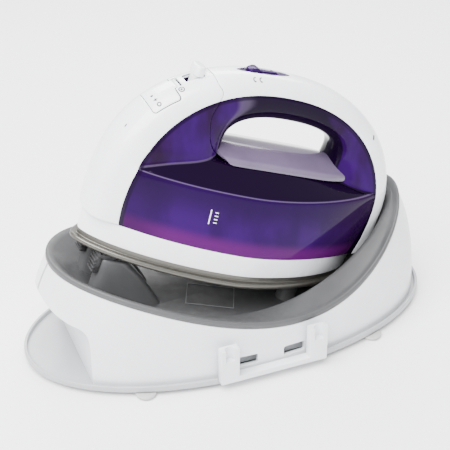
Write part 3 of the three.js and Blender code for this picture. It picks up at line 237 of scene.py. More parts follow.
def oval(shape, inset=0.0, count=240, z=0.0):
    """Ring of points round |x/a|^n + |y/b|^n = 1, evenly spread.

    Its height z is a number, or a function of x.
    """
    a, b, n = shape["a"] - inset, shape["b"] - inset, shape["n"]
    turn = np.linspace(0, 2 * np.pi, 8 * count + 1)
    x = a * signed_power(np.cos(turn), 2 / n)
    y = b * signed_power(np.sin(turn), 2 / n)
    walked = np.concatenate([[0], np.cumsum(np.hypot(np.diff(x), np.diff(y)))])
    at = np.linspace(0, walked[-1], count, endpoint=False)
    x, y = np.interp(at, walked, x) + shape.get("x", 0.0), np.interp(at, walked, y)
    height = z(x) if callable(z) else np.full(count, float(z))
    return np.column_stack([x, y, height])


def rounded(rings, radii, steps=4, endless=False):
    """Rings of a loft with each profile corner turned into an arc of the given radius."""
    result = []
    count = len(rings)
    for i, (ring, radius) in enumerate(zip(rings, radii)):
        at_end = not endless and i in (0, count - 1)
        if radius <= 0 or at_end:
            result.append(ring)
            continue
        arms = []
        for other in (rings[i - 1], rings[(i + 1) % count]):
            away = other - ring
            reach = np.linalg.norm(away, axis=1, keepdims=True) + 1e-9
            arms.append(ring + away / reach * np.minimum(radius, 0.48 * reach))
        for k in range(steps + 1):
            s = k / steps
            result.append((1 - s) ** 2 * arms[0] + 2 * s * (1 - s) * ring + s**2 * arms[1])
    return np.array(result)


def loft(rings, endless=False, ends=True):
    """Points and faces of a skin over rings, its ends closed by a fan, or joined end to start."""
    rings = np.asarray(rings)
    layers, count = rings.shape[:2]
    points = rings.reshape(-1, 3)
    faces = []
    for i in range(layers if endless else layers - 1):
        low, high = i * count, ((i + 1) % layers) * count
        for j in range(count):
            k = (j + 1) % count
            faces.append((low + j, low + k, high + k, high + j))
    if ends and not endless:
        hubs = [rings[0].mean(0), rings[-1].mean(0)]
        points = np.vstack([points, hubs])
        first, last = len(points) - 2, len(points) - 1
        top = (layers - 1) * count
        for j in range(count):
            k = (j + 1) % count
            faces.append((first, k, j))
            faces.append((last, top + j, top + k))
    return points, faces


def triangles(faces):
    """Faces of three or four corners as an array of triangles."""
    result = []
    for face in faces:
        result.append(face[:3])
        if len(face) == 4:
            result.append((face[0], face[2], face[3]))
    return np.array(result, dtype=int)


def compact(points, tris):
    """Drops the points that no triangle uses."""
    used, flat = np.unique(tris, return_inverse=True)
    return points[used], flat.reshape(-1, 3)


def clip(points, tris, field):
    """The part of a triangle skin where field is negative, cut exactly along field = 0."""
    value = field(points)
    inside = value <= 0
    count = inside[tris].sum(1)
    pieces = [tris[count == 3]]
    extra_ends = []
    for wanted, lone_inside in ((1, True), (2, False)):
        some = tris[count == wanted]
        if not len(some):
            continue
        lone = np.argmax(inside[some] == lone_inside, axis=1)
        rows = np.arange(len(some))
        a, b, c = some[rows, lone], some[rows, (lone + 1) % 3], some[rows, (lone + 2) % 3]
        extra_ends.append((a, b, c, lone_inside))
    keys = [
        np.sort(np.column_stack([a, other]), axis=1)
        for a, b, c, _ in extra_ends
        for other in (b, c)
    ]
    if not keys:
        return compact(points, pieces[0])
    edges, where = np.unique(np.vstack(keys), axis=0, return_inverse=True)
    where = where.ravel() + len(points)
    share = value[edges[:, 0]] / (value[edges[:, 0]] - value[edges[:, 1]])
    fresh = points[edges[:, 0]] + (points[edges[:, 1]] - points[edges[:, 0]]) * share[:, None]
    start = 0
    for a, b, c, lone_inside in extra_ends:
        ab, ac = where[start:start + 2 * len(a)].reshape(2, -1)
        start += 2 * len(a)
        if lone_inside:
            pieces.append(np.column_stack([a, ab, ac]))
        else:
            pieces.append(np.column_stack([ab, b, c]))
            pieces.append(np.column_stack([ab, c, ac]))
    return compact(np.vstack([points, fresh]), np.vstack(pieces))


def normals_of(points, tris):
    """Each point's outward direction, weighted by the size of the triangles round it."""
    a, b, c = (points[tris[:, k]] for k in range(3))
    face = np.cross(b - a, c - a)
    total = np.zeros_like(points)
    for k in range(3):
        np.add.at(total, tris[:, k], face)
    return total / (np.linalg.norm(total, axis=1, keepdims=True) + 1e-12)


def open_edges(tris):
    """Directed edges that only one triangle has."""
    directed = np.vstack([tris[:, [0, 1]], tris[:, [1, 2]], tris[:, [2, 0]]])
    there = set(map(tuple, directed.tolist()))
    return [(a, b) for a, b in there if (b, a) not in there]


def soften(points, tris, by, keep=None):
    """Rounds off a skin's open edges by sinking their points a little."""
    edge = np.unique(np.array(open_edges(tris)).ravel())
    if keep is not None:
        edge = edge[keep(points[edge])]
    moved = points.copy()
    moved[edge] -= normals_of(points, tris)[edge] * by
    return moved


def thicken(points, tris, wall):
    """Closed shell: the skin, a copy of it a wall's depth inside, and the edge between them."""
    count = len(points)
    inner = points - normals_of(points, tris) * wall
    faces = tris.tolist() + (tris[:, ::-1] + count).tolist()
    for a, b in open_edges(tris):
        faces.append([b, a, a + count, b + count])
    return np.vstack([points, inner]), faces


def mirrored(points, tris, bridge=None):
    """Both sides of a skin drawn for y >= 0.

    bridge says which of its open edges are joined straight across to their mirror image.
    """
    points = points.copy()
    points[points[:, 1] < 0.02, 1] = 0.0
    on_plane = points[:, 1] == 0.0
    other = np.arange(len(points))
    other[~on_plane] = len(points) + np.arange((~on_plane).sum())
    twin = points[~on_plane] * [1, -1, 1]
    faces = tris.tolist() + other[tris][:, ::-1].tolist()
    if bridge is not None:
        for a, b in open_edges(tris):
            if on_plane[a] and on_plane[b]:
                continue
            if not bridge(points[[a, b]]).all():
                continue
            ring = []
            for corner in (b, a, int(other[a]), int(other[b])):
                if corner not in ring:
                    ring.append(corner)
            if len(ring) >= 3:
                faces.append(ring)
    return np.vstack([points, twin]), faces


def smooth_line(points, per=10):
    """Catmull-Rom curve through flat points."""
    p = np.array(points, float)
    p = np.vstack([2 * p[0] - p[1], p, 2 * p[-1] - p[-2]])
    t = np.linspace(0, 1, per, endpoint=False)[:, None]
    parts = []
    for i in range(1, len(p) - 2):
        a, b, c, d = p[i - 1:i + 3]
        square, cube = 2 * a - 5 * b + 4 * c - d, 3 * b - a - 3 * c + d
        parts.append(0.5 * (2 * b + (c - a) * t + square * t**2 + cube * t**3))
    return np.vstack([*parts, p[-2:-1]])


def side_of_line(line, flat):
    """Signed distance of flat points to a line: positive on its right."""
    best = np.full(len(flat), 1e9)
    sign = np.ones(len(flat))
    for start, end in zip(line[:-1], line[1:]):
        run = end - start
        share = np.clip(((flat - start) @ run) / (run @ run), 0, 1)
        away = flat - start - share[:, None] * run
        far = np.hypot(away[:, 0], away[:, 1])
        nearer = far < best - 1e-9
        cross = run[1] * (flat[:, 0] - start[0]) - run[0] * (flat[:, 1] - start[1])
        best = np.where(nearer, far, best)
        sign = np.where(nearer, np.sign(cross), sign)
    return best * sign


# ------------------------------------------------------------------ the iron body's surface


def polar_table(curve):
    """Distance from the ring's centre to a side-view curve, for every whole degree."""
    angles = np.radians(np.arange(-90, 271))
    near, far = np.zeros(len(angles)), np.full(len(angles), 260.0)
    for _ in range(44):
        middle = (near + far) / 2
        x, z = RING_X + middle * np.cos(angles), RING_Z + middle * np.sin(angles)
        reach = np.abs((x - curve["x"]) / curve["a"]) ** curve["n"]
        reach = reach + np.abs((z - curve["z"]) / curve["b"]) ** curve["n"]
        near, far = np.where(reach < 1, middle, near), np.where(reach < 1, far, middle)
    return near


RING_OUT = polar_table(ARCH)
RING_IN = polar_table(HOLE)


def crease_height(x):
    """Height of the fold between the side wall and the shoulder."""
    return CREASE + CREASE_RISE * (np.maximum(0, x + 10) / 103) ** 1.5


def lower_shape(level):
    """Half length, half width and exponent of the lower body's outline at a height."""
    tall = np.clip(1 - np.abs((level - ARCH["z"]) / ARCH["b"]) ** ARCH["n"], 1e-6, 1)
    rise = np.clip((level - BODY_LOW) / (CREASE - BODY_LOW), 0, 1)
    half = WAIST - WAIST_TAPER * (level - BODY_LOW)
    return ARCH["a"] * tall ** (1 / ARCH["n"]), half, LOW_POWER + LOW_POWER_GAIN * rise


def lower_gauge(p):
    """1 on the lower body's surface, less inside it."""
    x, y, z = p.T
    crease = np.minimum(crease_height(x), SHOULDER_TOP - 4)
    rise = z - crease
    share = 0.5 * (rise + np.sqrt(rise**2 + CREASE_SOFT**2)) / (SHOULDER_TOP - crease)
    share = np.clip(share, 0, 1.3)
    a, b, n = lower_shape(np.minimum(z, CREASE))
    gx = np.abs(x - ARCH["x"]) / (a * (1 - SHOULDER_SHRINK * share))
    gy = np.abs(y) / (b * (1 - (1 - SQUEEZE) * share))
    return (gx**n + gy**n) ** (1 / n)


def ring_section(turn):
    """Middle radius, half depth, half width and exponent of the ring's section at a turn."""
    outer, inner = (np.interp(turn, np.arange(-90, 271), table) for table in (RING_OUT, RING_IN))
    middle, deep = (outer + inner) / 2, (outer - inner) / 2
    height = RING_Z + middle * np.sin(np.radians(turn))
    half = HEAD_HALF + (GRIP_HALF - HEAD_HALF) * np.clip((height - GRIP_LOW) / GRIP_RISE, 0, 1)
    n = RING_POWER + RING_POWER_GAIN * np.clip((deep - RING_THIN) / RING_THICKER, 0, 1)
    return middle, deep, half, n


def ring_gauge(p):
    """1 on the surface of the ring of head, handle and heel, less inside it."""
    x, y, z = p.T
    dx, dz = x - RING_X, z - RING_Z
    turn = np.degrees(np.arctan2(dz, dx))
    turn = np.where(turn < -90, turn + 360, turn)
    middle, deep, half, n = ring_section(turn)
    return ((np.abs(np.hypot(dx, dz) - middle) / deep) ** n + (np.abs(y) / half) ** n) ** (1 / n)


def distance(gauge, p, reach=0.05):
    """Distance to gauge = 1 and its direction, near the surface."""
    slope = np.empty_like(p)
    for k in range(p.shape[1]):
        step = np.zeros(p.shape[1])
        step[k] = reach
        slope[:, k] = (gauge(p + step) - gauge(p - step)) / (2 * reach)
    size = np.linalg.norm(slope, axis=1) + 1e-9
    return (gauge(p) - 1) / size, slope / size[:, None]


def body_distance(p, blend):
    """Distance to the body's surface and its direction, with the ring blended into the shoulder."""
    low, low_way = distance(lower_gauge, p)
    over = p[:, 2] - SHOULDER_TOP
    flat = over > low
    low = np.where(flat, over, low)
    low_way[flat] = (0, 0, 1)
    ring, ring_way = distance(ring_gauge, p)
    share = np.clip(0.5 + 0.5 * (ring - low) / blend, 0, 1)
    gap = ring * (1 - share) + low * share - blend * share * (1 - share)
    way = ring_way * (1 - share[:, None]) + low_way * share[:, None]
    return gap, way / (np.linalg.norm(way, axis=1, keepdims=True) + 1e-9)


def seed_rings():
    """Plain lofts of the lower body and the ring over it, as a start for the surface mesh."""
    low = []
    for z in (BODY_LOW - 6, 36, 48, 60, CREASE):
        a, b, n = lower_shape(z)
        low.append(oval({"x": ARCH["x"], "a": a, "b": b, "n": n}, count=96, z=z))
    low[-1][:, 2] = crease_height(low[-1][:, 0])
    top = low[-1].copy()
    top[:, 0] = ARCH["x"] + (top[:, 0] - ARCH["x"]) * (1 - SHOULDER_SHRINK)
    top[:, 1] *= SQUEEZE
    top[:, 2] = SHOULDER_TOP
    ring = []
    for turn in np.linspace(-46, 222, 90):
        middle, deep, half, n = ring_section(turn)
        way = np.radians(turn)
        side = np.linspace(0, 2 * np.pi, 40, endpoint=False)
        radius = middle + deep * signed_power(np.cos(side), 2 / n)
        y = half * signed_power(np.sin(side), 2 / n)
        ring.append(np.column_stack([RING_X + radius * np.cos(way), y, RING_Z + radius * np.sin(way)]))
    return loft([*low, top]), loft(ring)


def body_skin(blend):
    """Half of the iron body's outer surface, y >= 0, as points and triangles in the iron frame."""
    parts = []
    for number, (points, faces) in enumerate(seed_rings()):
        parts.append(raw_object(f"seed_{number}", points, faces, lambda p: p * MM))
    bpy.context.view_layer.objects.active = parts[0]
    mesh = bmesh.new()
    for part in parts:
        mesh.from_mesh(part.data)
    joined = bpy.data.meshes.new("seed")
    bmesh.ops.recalc_face_normals(mesh, faces=mesh.faces)
    mesh.to_mesh(joined)
    mesh.free()
    seed = parts[0]
    seed.data = joined
    bpy.data.objects.remove(parts[1])
    even = seed.modifiers.new("Even", "REMESH")
    even.mode = "VOXEL"
    even.voxel_size = SKIN_MESH * MM
    fine = evaluated_mesh(seed)
    fine.calc_loop_triangles()
    points = np.empty(len(fine.vertices) * 3)
    fine.vertices.foreach_get("co", points)
    tris = np.empty(len(fine.loop_triangles) * 3, dtype=np.int32)
    fine.loop_triangles.foreach_get("vertices", tris)
    points, tris = points.reshape(-1, 3) / MM, tris.reshape(-1, 3).astype(int)
    bpy.data.objects.remove(seed)
    points, tris = clip(points, tris, lambda p: -p[:, 1] - 1.5)
    points, tris = clip(points, tris, lambda p: BODY_LOW - 3 - p[:, 2])
    for _ in range(5):
        gap, way = body_distance(points, blend)
        points = points - way * np.clip(gap, -2, 2)[:, None]
    points, tris = clip(points, tris, lambda p: -p[:, 1])
    return clip(points, tris, lambda p: BODY_LOW - p[:, 2])


# ------------------------------------------------------------------ side-view outlines of the mouldings


def curve_gap(curve):
    """Field whose zero is a side-view curve; positive outside it."""

    def gauge(flat):
        gx = np.abs(flat[:, 0] - curve["x"]) / curve["a"]
        gz = np.abs(flat[:, 1] - curve["z"]) / curve["b"]
        return (gx ** curve["n"] + gz ** curve["n"]) ** (1 / curve["n"])

    return lambda p: distance(gauge, p[:, [0, 2]])[0]


JOINT_LINE = np.vstack([np.array(JOINT_LOW, float), smooth_line(JOINT_HIGH)])


def handle_gap(p):
    """Positive on the handle's side of its joint with the tank."""
    return side_of_line(JOINT_LINE, p[:, [0, 2]])


def cap_frame(p):
    """Place on the filler cap: along its slope from the rear edge, and across."""
    slope = np.array(CAP_FRONT) - np.array(CAP_BACK)
    slope = slope / np.hypot(*slope)
    return (p[:, [0, 2]] - CAP_BACK) @ slope, p[:, 1]


CAP_LONG = math.dist(CAP_BACK, CAP_FRONT)


def round_box(u, v, low_u, high_u, half_v, radius):
    """Signed distance to a rounded rectangle in flat coordinates."""
    qu = np.abs(u - (low_u + high_u) / 2) - (high_u - low_u) / 2 + radius
    qv = np.abs(v) - half_v + radius
    outside = np.hypot(np.maximum(qu, 0), np.maximum(qv, 0))
    return outside + np.minimum(np.maximum(qu, qv), 0) - radius


def cap_hole(p):
    u, v = cap_frame(p)
    lid = round_box(u, v, 0, CAP_LONG, CAP_HALF, CAP_ROUND)
    notch = round_box(u, v, -NOTCH_LONG, 3, TONGUE_HALF + 0.7, 0.8)
    return np.where(p[:, 2] > 100, np.minimum(lid, notch), NOWHERE)


def cap_outline(p):
    u, v = cap_frame(p)
    lid = round_box(u, v, 0.7, CAP_LONG - 0.45, CAP_HALF - 0.45, CAP_ROUND - 0.4)
    tongue = round_box(u, v, -TONGUE_LONG, 4, TONGUE_HALF, 0.5)
    return np.where(p[:, 2] > 100, np.minimum(lid, tongue), NOWHERE)


def lever_slot(p):
    gap = round_box(p[:, 0] - LEVER_X, p[:, 1], -LEVER_ROOM, 4.8, LEVER_HALF + 0.7, 1.2)
    return np.where(p[:, 2] > 125, gap, NOWHERE)


def track_hole(p):
    middle, half = (TRACK_FRONT[0] + TRACK_BACK[0]) / 2, (TRACK_BACK[0] - TRACK_FRONT[0]) / 2
    x = np.abs(p[:, 0] - middle) / (half + TRACK_ROOM)
    y = np.abs(p[:, 1]) / (TRACK_HALF + TRACK_ROOM)
    gap = ((x**1.7 + y**1.7) ** (1 / 1.7) - 1) * TRACK_HALF
    return np.where(p[:, 2] > 140, gap, NOWHERE)


def lamp_hole(p):
    turn = math.radians(LAMP_ANGLE)
    across = -(p[:, 0] - RING_X) * math.sin(turn) + (p[:, 2] - RING_Z) * math.cos(turn)
    gap = np.hypot(across, p[:, 1]) - LAMP_RADIUS
    return np.where(p[:, 0] > 100, gap, NOWHERE)


def heel_window(p):
    middle, half = (CONTACT_HIGH + CONTACT_LOW) / 2, (CONTACT_HIGH - CONTACT_LOW) / 2
    gap = np.maximum(np.abs(p[:, 1]) - CONTACT_HALF, np.abs(p[:, 2] - middle) - half)
    return np.where(p[:, 0] > 100, gap, NOWHERE)


# ------------------------------------------------------------------ Blender helpers


def in_iron(points):
    """Iron-frame millimetres to row-frame metres."""
    x, y, z = (np.asarray(points)[:, [k]] * MM for k in range(3))
    return np.array(IRON_ORIGIN) + x * np.array(IRON_BACK) + y * [0, 1, 0] + z * np.array(IRON_UP)


def in_row(points):
    """Row-frame millimetres to row-frame metres."""
    return np.asarray(points) * MM


def raw_object(name, points, faces, place):
    mesh = bpy.data.meshes.new(name)
    mesh.from_pydata(place(np.asarray(points)).tolist(), [], [list(map(int, f)) for f in faces])
    mesh.validate()
    thing = bpy.data.objects.new(name, mesh)
    bpy.context.scene.collection.objects.link(thing)
    return thing


def evaluated_mesh(thing):
    """The object's mesh with its modifiers applied."""
    bpy.context.view_layer.update()
    graph = bpy.context.evaluated_depsgraph_get()
    return bpy.data.meshes.new_from_object(
        thing.evaluated_get(graph), preserve_all_data_layers=True, depsgraph=graph
    )


def settle(thing):
    """Applies every modifier and leaves a plain mesh."""
    mesh = evaluated_mesh(thing)
    thing.modifiers.clear()
    thing.data = mesh
    return thing


def clean(thing, angle=38.0, merge=0.02, outward=True):
    """Welds close points, points the faces outwards and smooths all but the sharp edges."""
    mesh = bmesh.new()
    mesh.from_mesh(thing.data)
    bmesh.ops.remove_doubles(mesh, verts=mesh.verts, dist=merge * MM)
    bmesh.ops.dissolve_degenerate(mesh, edges=mesh.edges, dist=merge * MM / 4)
    if outward:
        bmesh.ops.recalc_face_normals(mesh, faces=mesh.faces)
    mesh.to_mesh(thing.data)
    mesh.free()
    thing.data.shade_smooth()
    thing.data.set_sharp_from_angle(angle=math.radians(angle))
    return thing


def piece(name, points, faces, place, material, body, replaces=(), angle=38.0, merge=0.02):
    """A finished piece: cleaned mesh, material, body it rides on and the nodes it stands for."""
    thing = clean(raw_object(name, points, faces, place), angle, merge)
    return finish_piece(thing, material, body, replaces)


def finish_piece(thing, material, body, replaces=()):
    """Gives a piece its material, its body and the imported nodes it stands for."""
    thing.data.materials.clear()
    thing.data.materials.append(material)
    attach(thing, body)
    if replaces:
        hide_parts(*replaces)
    return thing


def cut_with(thing, tools, operation="DIFFERENCE"):
    """Cuts a shape by others, or joins them to it, and removes those."""
    for tool in tools:
        change = thing.modifiers.new("Cut", "BOOLEAN")
        change.operation = operation
        change.solver = "EXACT"
        change.object = tool
    settle(thing)
    for tool in tools:
        bpy.data.objects.remove(tool)
    return thing


def block(name, low, high, place):
    """Box between two corners."""
    (x0, y0, z0), (x1, y1, z1) = low, high
    points = [(x, y, z) for z in (z0, z1) for x, y in ((x0, y0), (x1, y0), (x1, y1), (x0, y1))]
    faces = [(3, 2, 1, 0), (4, 5, 6, 7), (0, 1, 5, 4), (1, 2, 6, 5), (2, 3, 7, 6), (3, 0, 4, 7)]
    return raw_object(name, points, faces, place)


def flattened(thing, angle, merge=0.0):
    """Joins faces that lie within an angle of each other."""
    mesh = bmesh.new()
    mesh.from_mesh(thing.data)
    if merge:
        bmesh.ops.remove_doubles(mesh, verts=mesh.verts, dist=merge * MM)
    bmesh.ops.dissolve_limit(mesh, angle_limit=math.radians(angle), verts=mesh.verts, edges=mesh.edges)
    mesh.to_mesh(thing.data)
    mesh.free()
    return thing


def bevelled(thing, width, segments, angle):
    """Rounds the edges that are sharper than an angle."""
    change = thing.modifiers.new("Round", "BEVEL")
    change.width, change.segments = width * MM, segments
    change.limit_method, change.angle_limit = "ANGLE", math.radians(angle)
    return settle(thing)


def refined(node, finish, body, bevel, segments):
    """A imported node's own shape with its flat faces joined and its edges rounded."""
    thing = bpy.data.objects.new(f"{node}_fine", frame["nodes"][node].data.copy())
    bpy.context.scene.collection.objects.link(thing)
    bevelled(flattened(thing, 1.5, 0.004), bevel, segments, 32)
    clean(thing, 40, 0.002)
    return finish_piece(thing, material(finish), body, (node,))


# ------------------------------------------------------------------ Geometry Nodes: rows


def row_tree():
    """Copies of the incoming shape in a straight row, realized, with one material."""
    tree = bpy.data.node_groups.new("Row of copies", "GeometryNodeTree")
    face = tree.interface
    kinds = {"Geometry": "Geometry", "Count": "Int", "Step": "Vector", "Material": "Material"}
    sockets = {
        name: face.new_socket(name, in_out="INPUT", socket_type=f"NodeSocket{kind}")
        for name, kind in kinds.items()
    }
    face.new_socket("Geometry", in_out="OUTPUT", socket_type="NodeSocketGeometry")
    nodes, links = tree.nodes, tree.links
    given, result = nodes.new("NodeGroupInput"), nodes.new("NodeGroupOutput")
    line = nodes.new("GeometryNodeMeshLine")
    copies = nodes.new("GeometryNodeInstanceOnPoints")
    real = nodes.new("GeometryNodeRealizeInstances")
    paint = nodes.new("GeometryNodeSetMaterial")
    links.new(given.outputs["Count"], line.inputs["Count"])
    links.new(given.outputs["Step"], line.inputs["Offset"])
    links.new(line.outputs["Mesh"], copies.inputs["Points"])
    links.new(given.outputs["Geometry"], copies.inputs["Instance"])
    links.new(copies.outputs["Instances"], real.inputs["Geometry"])
    links.new(real.outputs["Geometry"], paint.inputs["Geometry"])
    links.new(given.outputs["Material"], paint.inputs["Material"])
    links.new(paint.outputs["Geometry"], result.inputs["Geometry"])
    return tree, {name: socket.identifier for name, socket in sockets.items()}


def in_a_row(thing, count, step, material):
    """Repeats an object's mesh along a step given in row-frame metres."""
    tree, keys = row_tree()
    change = thing.modifiers.new("Row", "NODES")
    change.node_group = tree
    for name, value in (("Count", count), ("Step", tuple(step)), ("Material", material)):
        change[keys[name]] = value
    return settle(thing)


# ------------------------------------------------------------------ materials


class Graph:
    """Short way to wire a material's nodes."""

    def __init__(self, name):
        self.material = bpy.data.materials.new(name)
        self.material.use_nodes = True
        self.tree = self.material.node_tree
        self.tree.nodes.clear()
        surface = self.add("ShaderNodeOutputMaterial").inputs["Surface"]
        self.shader = self.add("ShaderNodeBsdfPrincipled")
        self.link(self.shader.outputs["BSDF"], surface)
        self.where = self.add("ShaderNodeTexCoord").outputs["Object"]

    def add(self, kind, **settings):
        node = self.tree.nodes.new(kind)
        for name, value in settings.items():
            setattr(node, name, value)
        return node

    def link(self, source, target):
        self.tree.links.new(source, target)

    def fixed(self, **values):
        for name, value in values.items():
            self.shader.inputs[name.replace("_", " ")].default_value = value

    def noise(self, scale, detail=3.0, rough=0.5, stretch=None):
        node = self.add("ShaderNodeTexNoise")
        node.inputs["Scale"].default_value = scale
        node.inputs["Detail"].default_value = detail
        node.inputs["Roughness"].default_value = rough
        source = self.where
        if stretch:
            mapping = self.add("ShaderNodeMapping")
            mapping.inputs["Scale"].default_value = stretch
            self.link(source, mapping.inputs["Vector"])
            source = mapping.outputs["Vector"]
        self.link(source, node.inputs["Vector"])
        return node.outputs["Fac"]

    def span(self, value, low, high, to_low=0.0, to_high=1.0):
        """A smooth step from to_low to to_high while value goes from low to high."""
        node = self.add("ShaderNodeMapRange", interpolation_type="SMOOTHSTEP")
        ends = {"From Min": low, "From Max": high, "To Min": to_low, "To Max": to_high}
        for name, number in ends.items():
            node.inputs[name].default_value = number
        self.link(value, node.inputs["Value"])
        return node.outputs["Result"]

    def times(self, first, second):
        node = self.add("ShaderNodeMath", operation="MULTIPLY")
        for socket, value in zip(node.inputs, (first, second)):
            if isinstance(value, (int, float)):
                socket.default_value = value
            else:
                self.link(value, socket)
        return node.outputs[0]

    def mixed(self, share, first, second):
        """The first colour where share is 0, the second where it is 1."""
        node = self.add("ShaderNodeMix", data_type="RGBA")
        self.link(share, node.inputs[0])
        for socket, value in ((node.inputs[6], first), (node.inputs[7], second)):
            if isinstance(value, tuple):
                socket.default_value = (*value, 1.0)
            else:
                self.link(value, socket)
        return node.outputs[2]

    def bump(self, height, strength, depth):
        node = self.add("ShaderNodeBump")
        node.inputs["Strength"].default_value = strength
        node.inputs["Distance"].default_value = depth
        self.link(height, node.inputs["Height"])
        self.link(node.outputs["Normal"], self.shader.inputs["Normal"])

    def value(self, name):
        return self.add("ShaderNodeAttribute", attribute_name=name).outputs["Fac"]


MATERIALS = {}


def paints():
    return bpy.context.scene.iron_colours


def material(name):
    """The named finish, made on first use."""
    if name not in MATERIALS:
        MATERIALS[name] = FINISHES[name]()
    return MATERIALS[name]


def shade_of(base, by):
    return tuple(max(0.0, min(1.0, c * by)) for c in base)


def moulded(name, base, rough, coat, grain=900.0, relief=0.03, mottle=0.03, shine=0.5):
    """Injection-moulded plastic: faint mottling, fine skin texture and a clear sheen."""
    graph = Graph(name)
    base = tuple(base)
    cloud = graph.span(graph.noise(38.0, 4.0), 0.3, 0.7)
    tint = graph.mixed(cloud, shade_of(base, 1 - mottle), shade_of(base, 1 + mottle * 0.5))
    graph.link(tint, graph.shader.inputs["Base Color"])
    dull = graph.span(graph.noise(120.0, 3.0), 0.25, 0.75, rough * 0.85, rough * 1.2)
    graph.link(dull, graph.shader.inputs["Roughness"])
    graph.fixed(Coat_Weight=coat, Coat_Roughness=0.06, Specular_IOR_Level=shine)
    graph.bump(graph.noise(grain, 2.0), relief, 0.0004)
    return graph.material


def tinted_tank():
    """See-through purple moulding: the depth behind its wall shows as bands along its shape, with painted
    shade under the crease, towards heel and nose and on the shoulder, and painted highlights along the
    crease and the fold.
    """
    paint = paints()
    graph = Graph("tinted_purple")
    rise, run, rim, zone = (graph.value(name) for name in ("rise", "run", "rim", "zone"))
    crease, fold = graph.value("crease"), graph.value("fold")
    works = graph.noise(26.0, 3.0, 0.45, stretch=(1.5, 0.4, 0.75))
    haze = graph.noise(90.0, 2.0, 0.5, stretch=(1.0, 0.3, 0.5))
    violet, magenta, indigo, plum = map(tuple, (paint.violet, paint.magenta, paint.indigo, paint.plum))
    wall = graph.mixed(graph.span(rise, *WALL_SHADE), shade_of(violet, 0.48), violet)
    wall = graph.mixed(graph.times(graph.span(works, 0.62, 0.42), 0.55), wall, shade_of(violet, 0.42))
    wall = graph.mixed(graph.span(run, *HEEL_SHADE, 0.0, 0.55), wall, plum)
    wall = graph.mixed(graph.span(rise, *WALL_BAND), wall, magenta)
    wall = graph.mixed(graph.times(graph.span(run, *NOSE_SHADE), 0.5), wall, shade_of(indigo, 1.8))
    ring = graph.mixed(graph.span(works, 0.35, 0.65), shade_of(plum, 0.85), violet)
    ring = graph.mixed(graph.times(graph.span(haze, 0.35, 0.6), 0.35), ring, shade_of(indigo, 2.2))
    base = graph.mixed(graph.span(zone, 0.35, 0.75), wall, indigo)
    base = graph.mixed(graph.span(zone, 1.35, 1.75), base, ring)
    # Painted highlight: a lighter lilac line along the crease between side wall and shoulder.
    crease_highlight = graph.times(graph.span(crease, -0.6, 0.0), graph.span(crease, 0.7, 0.1))
    crease_highlight = graph.times(crease_highlight, graph.span(zone, 1.2, 0.8))
    base = graph.mixed(graph.times(crease_highlight, 0.4), base, shade_of(paint.lilac_sheen, 1.3))
    # Painted highlight: a lighter lilac line along the fold where the ring meets the shoulder.
    fold_highlight = graph.times(graph.span(fold, -1.1, -0.2), graph.span(fold, 1.0, 0.2))
    fold_highlight = graph.times(fold_highlight, graph.span(run, *FOLD_HIGHLIGHT))
    base = graph.mixed(graph.times(fold_highlight, 0.3), base, shade_of(paint.lilac_sheen, 1.2))
    edge = graph.span(rim, -3.6, -2.2)
    base = graph.mixed(graph.times(edge, 0.75), base, shade_of(indigo, 1.2))
    graph.link(base, graph.shader.inputs["Base Color"])
    graph.link(graph.span(haze, 0.2, 0.8, 0.05, 0.10), graph.shader.inputs["Roughness"])
    graph.fixed(Coat_Weight=0.06, Coat_Roughness=0.03, Specular_IOR_Level=0.04)
    graph.bump(graph.noise(60.0, 1.0), 0.02, 0.001)
    return graph.material


def sole_finish():
    """Coated aluminium: warm, satin, with fine lengthwise brushing."""
    graph = Graph("sole_coating")
    base = tuple(paints().sole)
    brushed = graph.noise(420.0, 4.0, 0.6, stretch=(0.06, 1.0, 1.0))
    tint = graph.mixed(graph.span(brushed, 0.3, 0.7), shade_of(base, 0.9), base)
    graph.link(tint, graph.shader.inputs["Base Color"])
    graph.link(graph.span(brushed, 0.2, 0.8, 0.26, 0.4), graph.shader.inputs["Roughness"])
    graph.fixed(Metallic=0.75, Specular_IOR_Level=0.5)
    graph.bump(brushed, 0.06, 0.0003)
    return graph.material


def metal(name, base, rough, grain=300.0, relief=0.05, stretch=None):
    """Bare metal: a fine pattern in its tint, its dullness and its relief."""
    graph = Graph(name)
    pattern = graph.noise(grain, 4.0, 0.6, stretch)
    tint = graph.mixed(graph.span(pattern, 0.3, 0.7), shade_of(base, 0.82), base)
    graph.link(tint, graph.shader.inputs["Base Color"])
    graph.link(graph.span(pattern, 0.2, 0.8, rough * 0.8, rough * 1.25), graph.shader.inputs["Roughness"])
    graph.fixed(Metallic=1.0)
    graph.bump(pattern, relief, 0.0004)
    return graph.material


def rubber():
    """Dull black rubber with a little dust on it."""
    graph = Graph("black_rubber")
    base = tuple(paints().black)
    dust = graph.noise(260.0, 5.0)
    tint = graph.mixed(graph.span(dust, 0.35, 0.8), base, shade_of(base, 2.4))
    graph.link(tint, graph.shader.inputs["Base Color"])
    graph.link(graph.span(dust, 0.2, 0.8, 0.6, 0.85), graph.shader.inputs["Roughness"])
    graph.bump(graph.noise(1400.0, 2.0), 0.2, 0.0003)
    return graph.material


def floor_finish():
    graph = Graph("pale_table")
    base = tuple(paints().floor)
    cloud = graph.span(graph.noise(3.0, 2.0), 0.3, 0.7)
    graph.link(graph.mixed(cloud, shade_of(base, 0.995), base), graph.shader.inputs["Base Color"])
    graph.fixed(Roughness=0.6, Specular_IOR_Level=0.2)
    return graph.material


